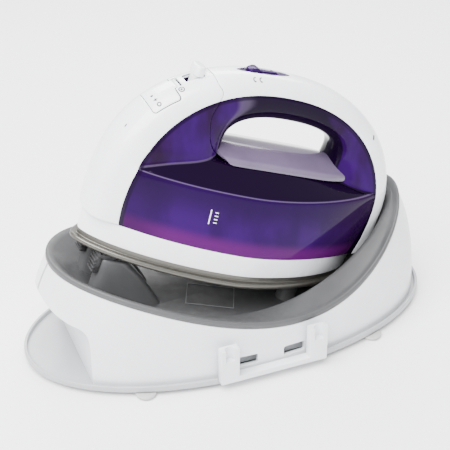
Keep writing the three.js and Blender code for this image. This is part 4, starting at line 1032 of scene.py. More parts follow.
FINISHES = {
    "white": lambda: moulded("white_moulding", paints().white, 0.24, 0.35),
    # Base plate: its own grey-white, darkened further as painted shade for the shadowed recess under the
    # iron's nose.
    "plate": lambda: moulded("plate_moulding", shade_of(paints().white, 0.42), 0.4, 0.1, 700.0, 0.05),
    "pale_rubber": lambda: moulded("pale_rubber", (0.42, 0.42, 0.41), 0.6, 0.0, 1200.0, 0.15, 0.08),
    "stand_white": lambda: moulded(
        "stand_moulding", shade_of(paints().white, 0.86), 0.34, 0.15, 700.0, 0.05),
    "purple": tinted_tank,
    "dark_purple": lambda: moulded(
        "slider_moulding", shade_of(paints().violet, 0.7), 0.25, 0.04, shine=0.08),
    # Deck: its purple lightened by painted reflection of the white surroundings.
    "lilac_sheen": lambda: moulded("deck_moulding", paints().lilac_sheen, 0.16, 0.35, mottle=0.12, shine=0.3),
    "grey": lambda: moulded("cradle_moulding", paints().grey, 0.5, 0.05, 1300.0, 0.22, 0.06),
    "rubber": rubber,
    "sole": sole_finish,
    "cast": lambda: metal("cast_alloy", (0.48, 0.47, 0.45), 0.5, 220.0, 0.3),
    "steel": lambda: metal("plated_steel", (0.60, 0.61, 0.62), 0.28, 500.0, 0.05, (1.0, 0.1, 1.0)),
    "copper": lambda: metal("contact_alloy", (0.72, 0.45, 0.22), 0.3, 400.0),
    "black": lambda: moulded("black_moulding", (0.022, 0.022, 0.024), 0.45, 0.0, 1200.0, 0.15, 0.2),
    "board": lambda: moulded("board_lacquer", (0.012, 0.085, 0.030), 0.3, 0.4, 300.0, 0.1, 0.2),
    "lamp": lambda: moulded("lamp_lens", (0.30, 0.02, 0.015), 0.08, 1.0),
    "label": lambda: moulded("label_outline", (0.16, 0.16, 0.165), 0.5, 0.0),
    "print": lambda: moulded("grey_print", (0.045, 0.045, 0.055), 0.5, 0.0),
    "white_print": lambda: moulded("white_print", (0.78, 0.74, 0.85), 0.4, 0.0),
    "floor": floor_finish,
}


# ------------------------------------------------------------------ the iron's mouldings


SKIN = {}


def skin():
    """The body's half surface, made once."""
    if not SKIN:
        SKIN["half"] = body_skin(bpy.context.scene.iron_sizes.fillet / MM)
    return SKIN["half"]


def skin_where(*fields):
    """Half surface kept where every field is positive."""
    points, tris = skin()
    for field in fields:
        points, tris = clip(points, tris, lambda p, f=field: -f(p))
    return points, tris


def whole(points, tris):
    """Both halves of a skin, welded on the middle plane."""
    both, faces = mirrored(points, tris)
    return both, triangles([tuple(f) for f in faces])


def cover(node, fields, body):
    """A white shell moulding cut from the body's surface."""
    sizes = bpy.context.scene.iron_sizes
    points, tris = whole(*skin_where(*fields))
    points = soften(points, tris, sizes.soft_edge / MM)
    solid, faces = thicken(points, tris, sizes.wall / MM)
    return piece(f"{node}_fine", solid, faces, in_iron, material("white"), body, (node,), 50)


def half_seam():
    return bpy.context.scene.iron_sizes.seam / MM / 2


def outside_glaze(by=1.0):
    return lambda p: curve_gap(GLAZE)(p) - by * half_seam()


def inside_glaze(p):
    return -curve_gap(GLAZE)(p) - half_seam()


def on_tank(p):
    return -handle_gap(p) - half_seam()


def on_handle(p):
    return handle_gap(p) - half_seam()


def heel_or_handle(p):
    heel = np.minimum(p[:, 0] - 60, 100 - p[:, 2])
    return np.maximum(on_handle(p), heel)


def nose_side(p):
    return -p[:, 0]


def zone_of(p):
    """0 on the side wall, 1 on the shoulder, 2 on the ring of head, handle and heel."""
    low, _ = distance(lower_gauge, p)
    ring, _ = distance(ring_gauge, p)
    above = np.clip((p[:, 2] - crease_height(p[:, 0])) / 1.2, 0, 1)
    on_ring = np.clip(0.5 + (low - ring) / 3.0, 0, 1)
    return above * (1 - on_ring) + 2 * on_ring


def mark_places(thing):
    """Stores where each point lies on the iron, for the tinted finish."""
    data = thing.data
    count = len(data.vertices)
    co = np.empty(count * 3)
    data.vertices.foreach_get("co", co)
    p = co.reshape(-1, 3) - np.array(IRON_ORIGIN)
    local = np.column_stack([p @ np.array(IRON_BACK), p[:, 1], p @ np.array(IRON_UP)]) / MM
    values = {
        "rise": local[:, 2],
        "run": local[:, 0],
        "rim": curve_gap(GLAZE)(local),
        "zone": zone_of(local),
        "crease": local[:, 2] - crease_height(local[:, 0]),
        "fold": distance(lower_gauge, local)[0] - distance(ring_gauge, local)[0],
    }
    for name, value in values.items():
        attribute = data.attributes.new(name, "FLOAT", "POINT")
        attribute.data.foreach_set("value", value.astype(np.float32))
    return thing


def purple_solid(node, side, body, cuts=()):
    """A solid moulding: its skin on both sides, joined straight across along its outline."""
    sizes = bpy.context.scene.iron_sizes
    points, tris = skin_where(inside_glaze, side)
    points = soften(points, tris, sizes.soft_edge / MM, lambda p: p[:, 1] > 0.05)
    solid, faces = mirrored(points, tris, lambda p: np.ones(len(p), bool))
    thing = clean(raw_object(f"{node}_fine", solid, faces, in_iron), 50)
    if cuts:
        cut_with(thing, cuts)
        clean(thing, 50, 0.01, outward=False)
    mark_places(thing)
    return finish_piece(thing, material("purple"), body, (node,))


def build_handle_body():
    return purple_solid("handle_body", on_handle, "iron")


def build_tank():
    slot = block("core_slot", (CORE_FRONT, -CORE_HALF, -5), (160, CORE_HALF, SHOULDER_TOP + 5), in_iron)
    return purple_solid("water_tank", on_tank, "tank", [slot])


def filler_hole(p):
    u, v = cap_frame(p)
    return np.where(p[:, 2] > 100, np.hypot(u - CAP_LONG / 2, v) - 8.0, NOWHERE)


def build_tank_head():
    """The tank's own top under the front cover, with its filler hole and the lever's pocket."""
    fields = (outside_glaze(-8), on_tank, nose_side, filler_hole, lever_slot)
    sunk = COVER_WALL + 2.2
    points, tris = whole(*skin_where(*fields))
    points = points - normals_of(points, tris) * sunk
    solid, faces = thicken(points, tris, 2.0)
    thing = clean(raw_object("tank_head", solid, faces, in_iron), 50)
    mark_places(thing)
    return finish_piece(thing, material("purple"), "tank")


def build_front_cover():
    fields = (outside_glaze(), on_tank, nose_side, cap_hole, lever_slot)
    return cover("front_cover", fields, "tank")


def build_handle_cover():
    fields = (outside_glaze(), heel_or_handle, track_hole, lamp_hole, heel_window)
    return cover("handle_cover", fields, "iron")


def build_cap():
    """Lid of the filler with its hinge tongue and knuckle."""
    points, tris = whole(*skin_where(lambda p: -cap_outline(p)))
    points = soften(points, tris, 0.35)
    solid, faces = thicken(points, tris, 2.4)
    lid = raw_object("filler_cap_fine", solid, faces, in_iron)
    bar = bar_across("knuckle", middle_of("cap_hinge_pin"), 1.55 * MM, 7.0 * MM)
    clean(lid, 50)
    cut_with(lid, [bar], "UNION")
    clean(lid, 45, 0.01, outward=False)
    return finish_piece(lid, material("white"), "filler_cap", ("filler_cap",))


def bar_across(name, middle, radius, half):
    """Round bar along Y at a place in row-frame metres."""
    turn = np.linspace(0, 2 * np.pi, 28, endpoint=False)
    rings = []
    for y, share in ((-half, 0.86), (-half + radius * 0.14, 1), (half - radius * 0.14, 1), (half, 0.86)):
        x, z = middle[0] + radius * share * np.cos(turn), middle[2] + radius * share * np.sin(turn)
        rings.append(np.column_stack([x, np.full(28, middle[1] + y), z]))
    points, faces = loft(rings)
    return clean(raw_object(name, points, faces, lambda p: p))


def finer(points, tris):
    """Every triangle split into four."""
    edges = np.sort(np.vstack([tris[:, [0, 1]], tris[:, [1, 2]], tris[:, [2, 0]]]), axis=1)
    unique, where = np.unique(edges, axis=0, return_inverse=True)
    middle = where.ravel().reshape(3, -1) + len(points)
    a, b, c = tris.T
    ab, bc, ca = middle
    split = [np.column_stack(t) for t in ((a, ab, ca), (ab, b, bc), (ca, bc, c), (ab, bc, ca))]
    return np.vstack([points, points[unique].mean(1)]), np.vstack(split)


def mark(name, field, finish, body, lift=0.07):
    """Thin print lying on the body's surface where field is negative."""
    if "whole" not in SKIN:
        SKIN["whole"] = whole(*skin())
    points, tris = SKIN["whole"]
    near = field(points)
    points, tris = compact(points, tris[(near[tris] < 1.6).any(1)])
    for _ in range(3):
        points, tris = finer(points, tris)
        near = field(points)
        points, tris = compact(points, tris[(near[tris] < 0.9).any(1)])
    points, tris = clip(points, tris, field)
    solid, faces = thicken(points + normals_of(points, tris) * lift, tris, 0.2)
    return piece(name, solid, faces, in_iron, material(finish), body, merge=0.004)


def any_of(*gaps):
    return np.minimum.reduce(gaps)


def cap_marks(p):
    u, v = cap_frame(p)
    dot = np.hypot(u - 17, v + 2) - 1.1
    upright = round_box(u - 16.4, v + 8, -0.5, 0.5, 1.4, 0.4)
    cross = round_box(u - 16.4, v + 8, -1.6, 1.6, 0.4, 0.3)
    ring = np.abs(np.hypot(u - 16, v + 13) - 1.3) - 0.45
    return np.where(p[:, 2] > 100, any_of(dot, upright, cross, ring), NOWHERE)


def cover_marks(p):
    u, v = cap_frame(p)
    reach = np.hypot(u + 3.2, v + 10.6)
    round_mark = any_of(np.abs(reach - 1.9) - 0.4, reach - 0.8)
    speck = np.hypot(p[:, 0] + 111.7, p[:, 1] + 8.2) - 0.6
    return np.where(p[:, 2] > 90, any_of(round_mark, speck), NOWHERE)


def level_marks(p):
    """Upright level line with four ticks beside it."""
    rise = p[:, 2] - LEVEL_Z
    across = p[:, 0] - LEVEL_X - rise * LEVEL_LEAN
    line = np.maximum(np.abs(across) - 0.42, np.abs(rise) - LEVEL_HALF)
    ticks = [round_box(across - 4.6, p[:, 2] - height, -1.3, 1.3, 0.35, 0.2) for height in LEVEL_TICKS]
    return np.where(p[:, 1] < 0, any_of(line, *ticks), NOWHERE)


def slider_marks(p):
    arcs = []
    for x in SLIDER_ARCS:
        reach = np.hypot(p[:, 0] - x, p[:, 1] - SLIDER_ARC_Y)
        arcs.append(np.maximum(np.abs(reach - 1.5) - 0.4, p[:, 0] - x - 0.4))
    return np.where(p[:, 2] > 140, any_of(*arcs), NOWHERE)


def side_slit(p):
    gap = round_box(p[:, 0] - SLIT_X, p[:, 2] - SLIT_Z, -0.9, 0.9, 1.7, 0.8)
    return np.where(p[:, 1] < 0, gap, NOWHERE)


def build_marks():
    mark("cap_marks", cap_marks, "print", "filler_cap")
    mark("cover_marks", cover_marks, "print", "tank")
    mark("level_marks", level_marks, "white_print", "tank")
    mark("slider_marks", slider_marks, "print", "iron")
    mark("side_slit", side_slit, "print", "iron")


# ------------------------------------------------------------------ small pieces of the iron


def outline_rings(shape, layers, count=200, beside=0.0):
    """Rings of one outline at (height, inset) pairs, moved across by a distance."""
    return [oval(shape, inset, count, z) + (0, beside, 0) for z, inset in layers]


def build_soleplate():
    layers = [(0, 1.4), (1.1, 0), (3.2, 0), (4.1, 1.0), (4.1, 5.0), (8.2, 5.0)]
    rings = rounded(outline_rings(SOLE, layers, 280), [0, 0.9, 0.8, 0.7, 0.8, 0], 4)
    points, faces = loft(rings)
    thing = clean(raw_object("soleplate_fine", points, faces, in_iron), 40)
    radius = bpy.context.scene.iron_sizes.vent / MM
    points, faces = [], []
    for x in VENTS_X:
        spread = VENT_SPREAD * SOLE_B * (1 - abs(x / SOLE_A) ** SOLE_N) ** (1 / SOLE_N)
        for y in (spread, -spread):
            drill = {"x": x, "a": radius, "b": radius, "n": 2}
            part, sides = loft(outline_rings(drill, [(-1, 0), (2.4, 0)], 20, y))
            start = sum(map(len, points))
            faces += [tuple(corner + start for corner in side) for side in sides]
            points.append(part)
    cut_with(thing, [clean(raw_object("vent_drills", np.vstack(points), faces, in_iron))])
    clean(thing, 40, 0.01, outward=False)
    return finish_piece(thing, material("sole"), "iron", ("soleplate",))


def build_skirt():
    rings = outline_rings(SKIRT_FOOT, [(SKIRT_LOW, 0), (17, -0.5)], 280)
    rings += outline_rings(SKIRT_TOP, [(SKIRT_HIGH, 0), (SKIRT_HIGH, SKIRT_WALL)], 280)
    rings += outline_rings(SKIRT_FOOT, [(SKIRT_LOW, SKIRT_WALL)], 280)
    points, faces = loft(rounded(rings, [0.6, 5, 0.8, 0.4, 0.4], 4, endless=True), endless=True)
    return piece("skirt_fine", points, faces, in_iron, material("white"), "iron", ("skirt",))


def build_seal():
    """Dark seal in the joint between skirt and body."""
    layers = [(25.3, 0.9), (26.4, 0.9), (26.4, 2.1), (25.3, 2.1)]
    points, faces = loft(np.array(outline_rings(SKIRT_TOP, layers, 240)), endless=True)
    return piece("skirt_seal", points, faces, in_iron, material("black"), "iron")


def build_lever():
    """Steam lever: a domed tab on a hub round its pin."""
    layers = [
        (LEVER_PIVOT - 1, 2.8, 4.4), (139, 3.6, 4.8), (141.4, 3.8, 4.8), (142.2, 4.0, 7.4),
        (147.4, 4.0, 7.2), (LEVER_TOP, 3.5, 6.7), (LEVER_TOP, 0.5, 3.4),
    ]
    rings = [oval({"x": LEVER_X, "a": a, "b": b, "n": 3.2}, 0, 72, z) for z, a, b in layers]
    rings = rounded(rings, [0, 2, 0.3, 0.3, 3, 2.4, 0], 6)
    points, faces = loft(rings)
    thing = clean(raw_object("steam_lever_fine", points, faces, in_iron), 50)
    axis = middle_of("lever_pin")
    cut_with(thing, [bar_across("hub", axis, 3.9 * MM, (LEVER_HALF - 0.3) * MM)], "UNION")
    cut_with(thing, [bar_across("bore", axis, 1.56 * MM, 12 * MM)])
    clean(thing, 45, 0.01, outward=False)
    return finish_piece(thing, material("white"), "steam_lever", ("steam_lever",))


def build_deck():
    """Crowned lid under the fingers; its ends run in under the ring's rounded edge."""
    profile = [(DECK_HALF, 87.3), (DECK_HALF, 89.2), (24.2, 90.4), (15, 93.2), (6, 95.7), (0, DECK_CROWN)]
    profile += [(-y, z) for y, z in reversed(profile[:-1])]
    radii = [0, 1.2, 1.5, 0, 2, 3, 2, 0, 1.5, 1.2, 0]
    line = rounded(np.array(profile, float)[:, None, :], radii, 5)[:, 0]
    run = np.arange(-52, 92, 1.5)
    rear, front = np.clip((run - 50) / 30, 0, 1), np.clip((-22 - run) / 22, 0, 1)
    ends = 1 - 0.30 * rear**1.6 - 0.16 * front**1.6
    points = np.array([(x, y * share, z) for x, share in zip(run, ends) for y, z in line])
    wide = len(line)
    faces = [(i * wide + j, (i + 1) * wide + j, (i + 1) * wide + j + 1, i * wide + j + 1)
             for i in range(len(run) - 1) for j in range(wide - 1)]
    hole = dict(HOLE, a=HOLE["a"] + 14, b=HOLE["b"] + 14)
    points, tris = clip(points, triangles(faces), curve_gap(hole))
    points, tris = clip(points, tris, lambda p: 0.2 - handle_gap(p))
    solid, faces = thicken(points, tris, DECK_WALL)
    return piece(
        "deck_cover_fine", solid, faces, in_iron, material("lilac_sheen"), "iron",
        ("deck_cover",), 40,
    )


def build_deck_line():
    """Narrow dark joint along the deck, beside its crown."""
    points, faces = [], []
    run = np.linspace(-34, 62, 60)
    for x in run:
        points += [(x, -8.6, 94.95), (x, -7.9, 95.22), (x, -7.9, 94.4), (x, -8.6, 94.2)]
    for i in range(len(run) - 1):
        for j in range(4):
            k = (j + 1) % 4
            faces.append((4 * i + j, 4 * i + k, 4 * i + 4 + k, 4 * i + 4 + j))
    end = 4 * (len(run) - 1)
    faces += [(3, 2, 1, 0), (end, end + 1, end + 2, end + 3)]
    return piece("deck_joint", points, faces, in_iron, material("black"), "iron")


def build_small_iron():
    """Slider, its track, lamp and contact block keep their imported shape, with rounded edges."""
    refined("slider_track", "dark_purple", "iron", 0.3, 2)
    refined("temperature_slider", "dark_purple", "temperature_slider", 0.5, 3)
    refined("pilot_lamp_lens", "lamp", "iron", 0.3, 3)
    refined("heel_contact_block", "black", "iron", 0.4, 2)


# ------------------------------------------------------------------ the stand


def rim_height(x, by=0.0):
    """Height of the cradle's rim along the stand, less a depth below it."""
    return 46.8 - 0.1877 * x + 2.35e-3 * x**2 + 1.01e-5 * x**3 - by


def pocket_height(x, by=0.0):
    """Height of the ledge round the cradle's pocket, less a depth below it."""
    return 39 + 2.5e-3 * x**2 + 2e-6 * x**3 - by


def floor_height(x, by=0.0):
    """Height of the cradle's sloping floor, less a depth below it."""
    return 31 - 0.19 * x - by


def build_base_plate():
    layers = [(PLATE_LOW, 1.2), (PLATE_LOW + 1.2, 0), (LIP_TOP, 0.2), (LIP_TOP, LIP_WIDTH)]
    layers.append((PLATE_TOP, LIP_WIDTH + 0.3))
    rings = rounded(outline_rings(PLATE, layers, 300), [0, 0.8, 0.9, 0.7, 0], 4)
    points, faces = loft(rings)
    thing = clean(raw_object("base_plate_fine", points, faces, in_row), 45)
    slots = [
        block("rail_room", (RAIL_ENDS[0] - 0.3, y0, 0), (RAIL_ENDS[1] + 0.3, y1, 40), in_row)
        for y0, y1 in ((-100, -82.7), (82.7, 100))
    ]
    cut_with(thing, slots)
    clean(thing, 45, 0.01, outward=False)
    return finish_piece(thing, material("plate"), "stand", ("base_plate",))


def shell_ring(share, inset=0.0, count=320):
    """Outer surface of the shell between its foot and the cradle's rim."""
    foot, top = oval(PLATE, FOOT_INSET + inset, count), oval(RIM, inset, count)
    lean = share**3 * 0.75 + share * 0.25
    ring = foot + (top - foot) * lean
    crest = rim_height(top[:, 0]) - RIM_BAND - 0.3
    ring[:, 2] = 5.8 + (crest - 5.8) * share
    return ring


RECESS_LINE = np.vstack([np.array(RECESS[:2], float), smooth_line(RECESS[1:])])


def recess_gap(p):
    """Positive where the shell stays, negative in the open recess under the nose."""
    gap = side_of_line(RECESS_LINE, p[:, [0, 2]])
    return np.where(p[:, 0] > -60, 60.0, gap)


def inlet_hole(p):
    """Positive inside the cord inlet's hole, at the heel end."""
    gap = INLET_RADIUS - np.hypot(p[:, 1] - INLET_Y, p[:, 2] - INLET_Z)
    return np.where(p[:, 0] > 120, gap, -9.0)


def window_hole(low, high):
    """Field that is positive inside the latch windows between two places along the stand."""

    def field(p):
        rise = p[:, 2] - (WINDOW_LOW + WINDOW_HIGH) / 2
        along = p[:, 0] - (low + high) / 2
        half = (high - low) / 2
        hole = round_box(along, rise, -half, half, (WINDOW_HIGH - WINDOW_LOW) / 2, 1.0)
        return np.where(p[:, 1] > 50, -hole, -60.0)

    return field


def build_shell():
    sizes = bpy.context.scene.stand_sizes
    rings = [shell_ring(s) for s in np.linspace(0, 0.995, 44)]
    rings += [shell_ring(1.0, 0.5), shell_ring(1.0, 1.6)]
    points, faces = loft(rings, ends=False)
    points, tris = clip(points, triangles(faces), lambda p: -p[:, 1])
    points, tris = clip(points, tris, lambda p: -recess_gap(p))
    for low, high in WINDOWS:
        points, tris = clip(points, tris, window_hole(low, high))
    both, faces = mirrored(points, tris, lambda p: np.abs(recess_gap(p)) < 0.05)
    tris = triangles([tuple(f) for f in faces])
    both, tris = clip(*compact(both, tris), inlet_hole)
    solid, faces = thicken(both, tris, sizes.wall / MM)
    return piece(
        "base_shell_fine", solid, faces, in_row, material("stand_white"), "stand",
        ("base_shell",), 35, 0.01,
    )


def build_cradle():
    soft = bpy.context.scene.stand_sizes.rim / MM
    # Outline, inset, height function, how far below it, and the corner's rounding.
    layers = [
        (FLOOR, 8, floor_height, 0, 0), (FLOOR, 0, floor_height, -2, 6),
        (POCKET, 1, pocket_height, 1.5, 4), (POCKET, -2, pocket_height, 0, 2.5),
        (RIM, RIM_BAND, rim_height, 1, soft), (RIM, 1.4, rim_height, 0, soft),
        (RIM, 0, rim_height, 2, 1.6), (RIM, 0, rim_height, RIM_BAND, 0.5),
        (RIM, 3.3, rim_height, RIM_BAND, 0), (RIM, 3.3, rim_height, 2 * RIM_BAND, 0),
        (RIM, 6.3, rim_height, 2 * RIM_BAND, 0), (POCKET, -3, pocket_height, 4, 0),
        (FLOOR, -3, floor_height, 3, 0), (FLOOR, 3, floor_height, 3, 0),
    ]
    rings = [oval(shape, inset, 260, lambda x: height(x, by)) for shape, inset, height, by, _ in layers]
    points, faces = loft(rounded(rings, [layer[-1] for layer in layers], 5))
    bowl = clean(raw_object("cradle_fine", points, faces, in_row), 50)
    tools = []
    for y in (-HUMP_Y, HUMP_Y):
        ends = [(-102, -28, 10, -52), (-102, -46, 9, -34), (-102, -66, 8, -16), (-101.8, -81, 7, -5.3)]
        hump = []
        for front, back, half, z in ends:
            section = {"x": (front + back) / 2, "a": (back - front) / 2, "b": half, "n": 3.6}
            hump += outline_rings(section, [(z, 0)], 96, y)
        hump += outline_rings({"x": -91, "a": 6, "b": 3, "n": 2.5}, [(-5.3, 0)], 96, y)
        points, faces = loft(rounded(hump, [0, 12, 10, 2.4, 0], 5))
        tools.append(clean(raw_object("hump", points, faces, in_iron)))
    for y in (-POST_Y, POST_Y):
        rings = outline_rings(POST, [(-21, 0), (-3.3, 1.5), (-3.3, 4)], 48, y)
        points, faces = loft(rounded(rings, [0, 1, 0], 4))
        tools.append(clean(raw_object(f"rest_{y}", points, faces, in_iron)))
    cut_with(bowl, tools, "UNION")
    cut_with(bowl, [block("contact_window", (123.5, -13.3, 35.7), (145.5, 13.3, 54.3), in_iron)])
    clean(bowl, 42, 0.01, outward=False)
    return finish_piece(bowl, material("grey"), "stand", ("cradle",))


def soft_block(name, low, high, radius, replaces=(), row=None):
    """Rubber block with rounded edges, repeated in a row when a count and a step are given."""
    thing = bevelled(block(name, low, high, in_iron), radius, 3, 30)
    if row:
        in_a_row(thing, *row, material("rubber"))
    clean(thing, 60, 0.001)
    return finish_piece(thing, material("rubber"), "stand", replaces)


def build_rest_pads():
    """Black rubber pads under the sole's nose, ribbed on top and in front."""
    width = bpy.context.scene.stand_sizes.rib / MM
    sides = (
        ("left", -PAD_OUTER, -PAD_INNER, ("front_rest_pad",)),
        ("right", PAD_INNER, PAD_OUTER, ()),
    )
    for side, y0, y1, nodes in sides:
        soft_block(f"rest_pad_{side}", (-105, y0, -5.2), (-91, y1, -1.7), 0.7, nodes)
        soft_block(f"rest_apron_{side}", (-106, y0, -17.5), (-101.7, y1, -4.2), 1.0)
        low, high = (-104.9, y0 + 0.3, -2.4), (-104.9 + width, y1 - 0.3, -0.42)
        soft_block(f"rest_ribs_{side}", low, high, 0.5, row=(5, Vector(IRON_BACK) * 3.06 * MM))
        low, high = (-107.2, y0 - 0.3, -16.9), (-105.2, y1 + 0.3, -15.4)
        soft_block(f"apron_ribs_{side}", low, high, 0.5, row=(4, Vector(IRON_UP) * 3.1 * MM))


def build_rail(side, sign):
    """Latch rail: a low bar with two posts, each with a round socket open to the outside."""
    near, far = sorted((RAIL_Y[0] * sign, RAIL_Y[1] * sign))
    (start, end), (first, second) = RAIL_ENDS, RAIL_POSTS
    solids = [
        block(f"latch_rail_{side}_fine", (x0, near, RAIL_LOW), (x1, far, top), in_row)
        for x0, x1, top in ((start, end, RAIL_BAR), (start, first, RAIL_TOP), (second, end, RAIL_TOP))
    ]
    rail = cut_with(solids[0], solids[1:], "UNION")
    sockets = []
    for x in ((start + first) / 2, (second + end) / 2):
        bore = {"x": x, "a": 3.9, "b": 3.9, "n": 2}
        points, faces = loft(outline_rings(bore, [(27.5, 0), (45, 0)], 40, sign * 88.6))
        sockets.append(clean(raw_object("socket", points, faces, in_row)))
    cut_with(rail, sockets)
    bevelled(flattened(rail, 2), 0.7, 3, 40)
    clean(rail, 45, 0.002)
    return finish_piece(rail, material("stand_white"), "stand", (f"latch_rail_{side}",))


def build_window_backs():
    """Rear walls of the latch windows, inside the shell."""
    for side, sign in (("left", -1), ("right", 1)):
        ends = sorted((sign * LINER_NEAR, sign * LINER_FAR))
        liner = block(f"window_liner_{side}", (-32, ends[0], 9), (35, ends[1], 27), in_row)
        clean(liner, 30, 0.001)
        finish_piece(liner, material("stand_white"), "stand")


def build_floor_label():
    """Plain outline of a label on the cradle's floor."""
    middle = np.mean(LABEL, axis=0)
    rings = []
    for grow, lift in ((0.0, 0.02), (0.0, 0.3), (-0.7, 0.3), (-0.7, 0.02)):
        ring = [middle + (np.array(corner) - middle) * (1 + grow / 18) for corner in LABEL]
        rings.append([(x, y, floor_height(x) + 0.1 + lift) for x, y in ring])
    points, faces = loft(np.array(rings, float), endless=True)
    return piece("floor_label", points, faces, in_row, material("label"), "stand")


def build_small_stand():
    """Feet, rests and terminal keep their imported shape, with rounded edges."""
    for side in ("left", "right"):
        refined(f"heel_rest_pad_{side}", "rubber", "stand", 0.5, 3)
        for end in ("nose", "heel"):
            refined(f"foot_{end}_{side}", "pale_rubber", "stand", 0.8, 3)
    refined("cord_inlet", "stand_white", "stand", 0.4, 2)
    refined("terminal_block", "black", "stand", 0.4, 2)


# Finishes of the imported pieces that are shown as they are.
KEPT = {
    "steel": (
        "base_screw_1", "base_screw_2", "base_screw_3", "base_screw_4", "heating_element",
        "steam_chamber_lid", "thermal_fuse", "handle_screw_front", "handle_screw_rear",
        "cap_hinge_pin", "lever_pin", "valve_rod", "valve_spring",
    ),
    "copper": (
        "contact_blade_left", "contact_blade_right", "thermostat", "contact_plate_left",
        "contact_plate_right",
    ),
    "black": ("stand_lead", "heat_shield", "spring_stop"),
    "rubber": ("steam_gasket", "valve_seat"),
    "cast": ("heater_casting",),
    "board": ("control_board",),
}


def build_works():
    """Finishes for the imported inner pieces, which keep their shape."""
    for finish, nodes in KEPT.items():
        for node in nodes:
            thing = frame["nodes"][node]
            if not thing.material_slots:
                thing.data.materials.append(None)
            for place in thing.material_slots:
                place.material = material(finish)


# ------------------------------------------------------------------ stage


def aim(thing, target):
    """Turns a camera or a light to look at a point."""
    thing.rotation_euler = (Vector(target) - thing.location).to_track_quat("-Z", "Y").to_euler()


def area_light(name, place, target, size, power):
    light = bpy.data.lights.new(name, "AREA")
    light.shape = "RECTANGLE"
    light.size, light.size_y = size
    light.energy = power
    thing = bpy.data.objects.new(name, light)
    thing.location = place
    bpy.context.scene.collection.objects.link(thing)
    aim(thing, target)
    return thing


def build_stage():
    studio = bpy.context.scene.studio
    far = TABLE_HALF
    points = [(-far, -far, 0), (far, -far, 0), (far, far, 0), (-far, far, 0)]
    floor = raw_object("table", points, [(0, 1, 2, 3)], lambda p: p)
    floor.data.materials.append(material("floor"))
    level, turn = studio.elevation, studio.azimuth
    target = Vector((0, 0, studio.target))
    away = Vector((math.cos(level) * math.sin(turn), -math.cos(level) * math.cos(turn), math.sin(level)))
    camera = bpy.data.cameras.new("Camera")
    camera.lens = studio.lens
    camera.sensor_width = 36
    camera.shift_x, camera.shift_y = CAMERA_SHIFT
    camera.dof.use_dof = False
    thing = bpy.data.objects.new("Camera", camera)
    thing.location = target + away * studio.distance
    bpy.context.scene.collection.objects.link(thing)
    aim(thing, target)
    bpy.context.scene.camera = thing
    sky = bpy.data.worlds.new("Even light")
    sky.use_nodes = True
    light = sky.node_tree.nodes["Background"].inputs
    light["Color"].default_value = (1.0, 1.0, 1.0, 1.0)
    light["Strength"].default_value = studio.sky
    bpy.context.scene.world = sky
    area_light("Key", KEY_PLACE, KEY_AIM, KEY_SIZE, studio.key)
    area_light("Back strip", STRIP_PLACE, STRIP_AIM, STRIP_SIZE, studio.key * STRIP_SHARE)


# ------------------------------------------------------------------ operators, panel, registration


class IRON_OT_stand(bpy.types.Operator):
    """Build the stand: plate, shell, cradle, pads, rails and feet"""

    bl_idname = "iron.build_stand"
    bl_label = "Stand"

    def execute(self, context):
        build_base_plate()
        build_shell()
        build_cradle()
        build_rest_pads()
        build_small_stand()
        for side, sign in (("left", -1), ("right", 1)):
            build_rail(side, sign)
        build_window_backs()
        build_floor_label()
        return {"FINISHED"}


class IRON_OT_sole(bpy.types.Operator):
    """Build the soleplate and the skirt round it"""

    bl_idname = "iron.build_sole"
    bl_label = "Sole and skirt"

    def execute(self, context):
        build_soleplate()
        build_skirt()
        build_seal()
        return {"FINISHED"}


class IRON_OT_body(bpy.types.Operator):
    """Build the purple mouldings: tank, its head and the handle's body"""

    bl_idname = "iron.build_body"
    bl_label = "Tank and handle"

    def execute(self, context):
        build_tank()
        build_tank_head()
        build_handle_body()
        return {"FINISHED"}


class IRON_OT_covers(bpy.types.Operator):
    """Build the white covers and the filler cap"""

    bl_idname = "iron.build_covers"
    bl_label = "Covers and cap"

    def execute(self, context):
        build_front_cover()
        build_handle_cover()
        build_cap()
        return {"FINISHED"}


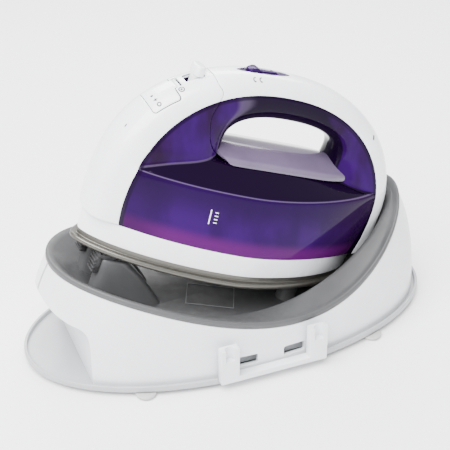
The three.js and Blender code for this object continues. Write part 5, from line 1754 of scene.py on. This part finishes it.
class IRON_OT_controls(bpy.types.Operator):
    """Build the lever, slider, deck and lamp"""

    bl_idname = "iron.build_controls"
    bl_label = "Controls"

    def execute(self, context):
        build_lever()
        build_deck()
        build_deck_line()
        build_small_iron()
        build_marks()
        return {"FINISHED"}


class IRON_OT_works(bpy.types.Operator):
    """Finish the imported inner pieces"""

    bl_idname = "iron.build_works"
    bl_label = "Inner works"

    def execute(self, context):
        build_works()
        return {"FINISHED"}


class IRON_OT_stage(bpy.types.Operator):
    """Set the table, the lights and the camera"""

    bl_idname = "iron.build_stage"
    bl_label = "Stage"

    def execute(self, context):
        build_stage()
        return {"FINISHED"}


OPERATORS = (
    IRON_OT_stand, IRON_OT_sole, IRON_OT_body, IRON_OT_covers,
    IRON_OT_controls, IRON_OT_works, IRON_OT_stage,
)


class IRON_PT_panel(bpy.types.Panel):
    """Sizes, colours and build steps"""

    bl_label = "Steam iron"
    bl_idname = "IRON_PT_panel"
    bl_space_type = "VIEW_3D"
    bl_region_type = "UI"
    bl_category = "Iron"

    def draw(self, context):
        for group in ("iron_sizes", "stand_sizes", "iron_colours", "studio"):
            settings = getattr(context.scene, group)
            column = self.layout.column()
            for name in settings.bl_rna.properties.keys():
                if name not in ("rna_type", "name"):
                    column.prop(settings, name)
        for operator in OPERATORS:
            self.layout.operator(operator.bl_idname)


GROUPS = {
    "iron_sizes": IronSizes,
    "stand_sizes": StandSizes,
    "iron_colours": IronColours,
    "studio": StudioSettings,
}


def register():
    for kind in (*GROUPS.values(), *OPERATORS, IRON_PT_panel):
        bpy.utils.register_class(kind)
    for name, kind in GROUPS.items():
        setattr(bpy.types.Scene, name, bpy.props.PointerProperty(type=kind))


def unregister():
    for name in GROUPS:
        delattr(bpy.types.Scene, name)
    for kind in (IRON_PT_panel, *reversed(OPERATORS), *reversed(tuple(GROUPS.values()))):
        bpy.utils.unregister_class(kind)


def main():
    register()
    for operator in OPERATORS:
        group, name = operator.bl_idname.split(".")
        getattr(getattr(bpy.ops, group), name)()


if __name__ == "__main__":
    main()
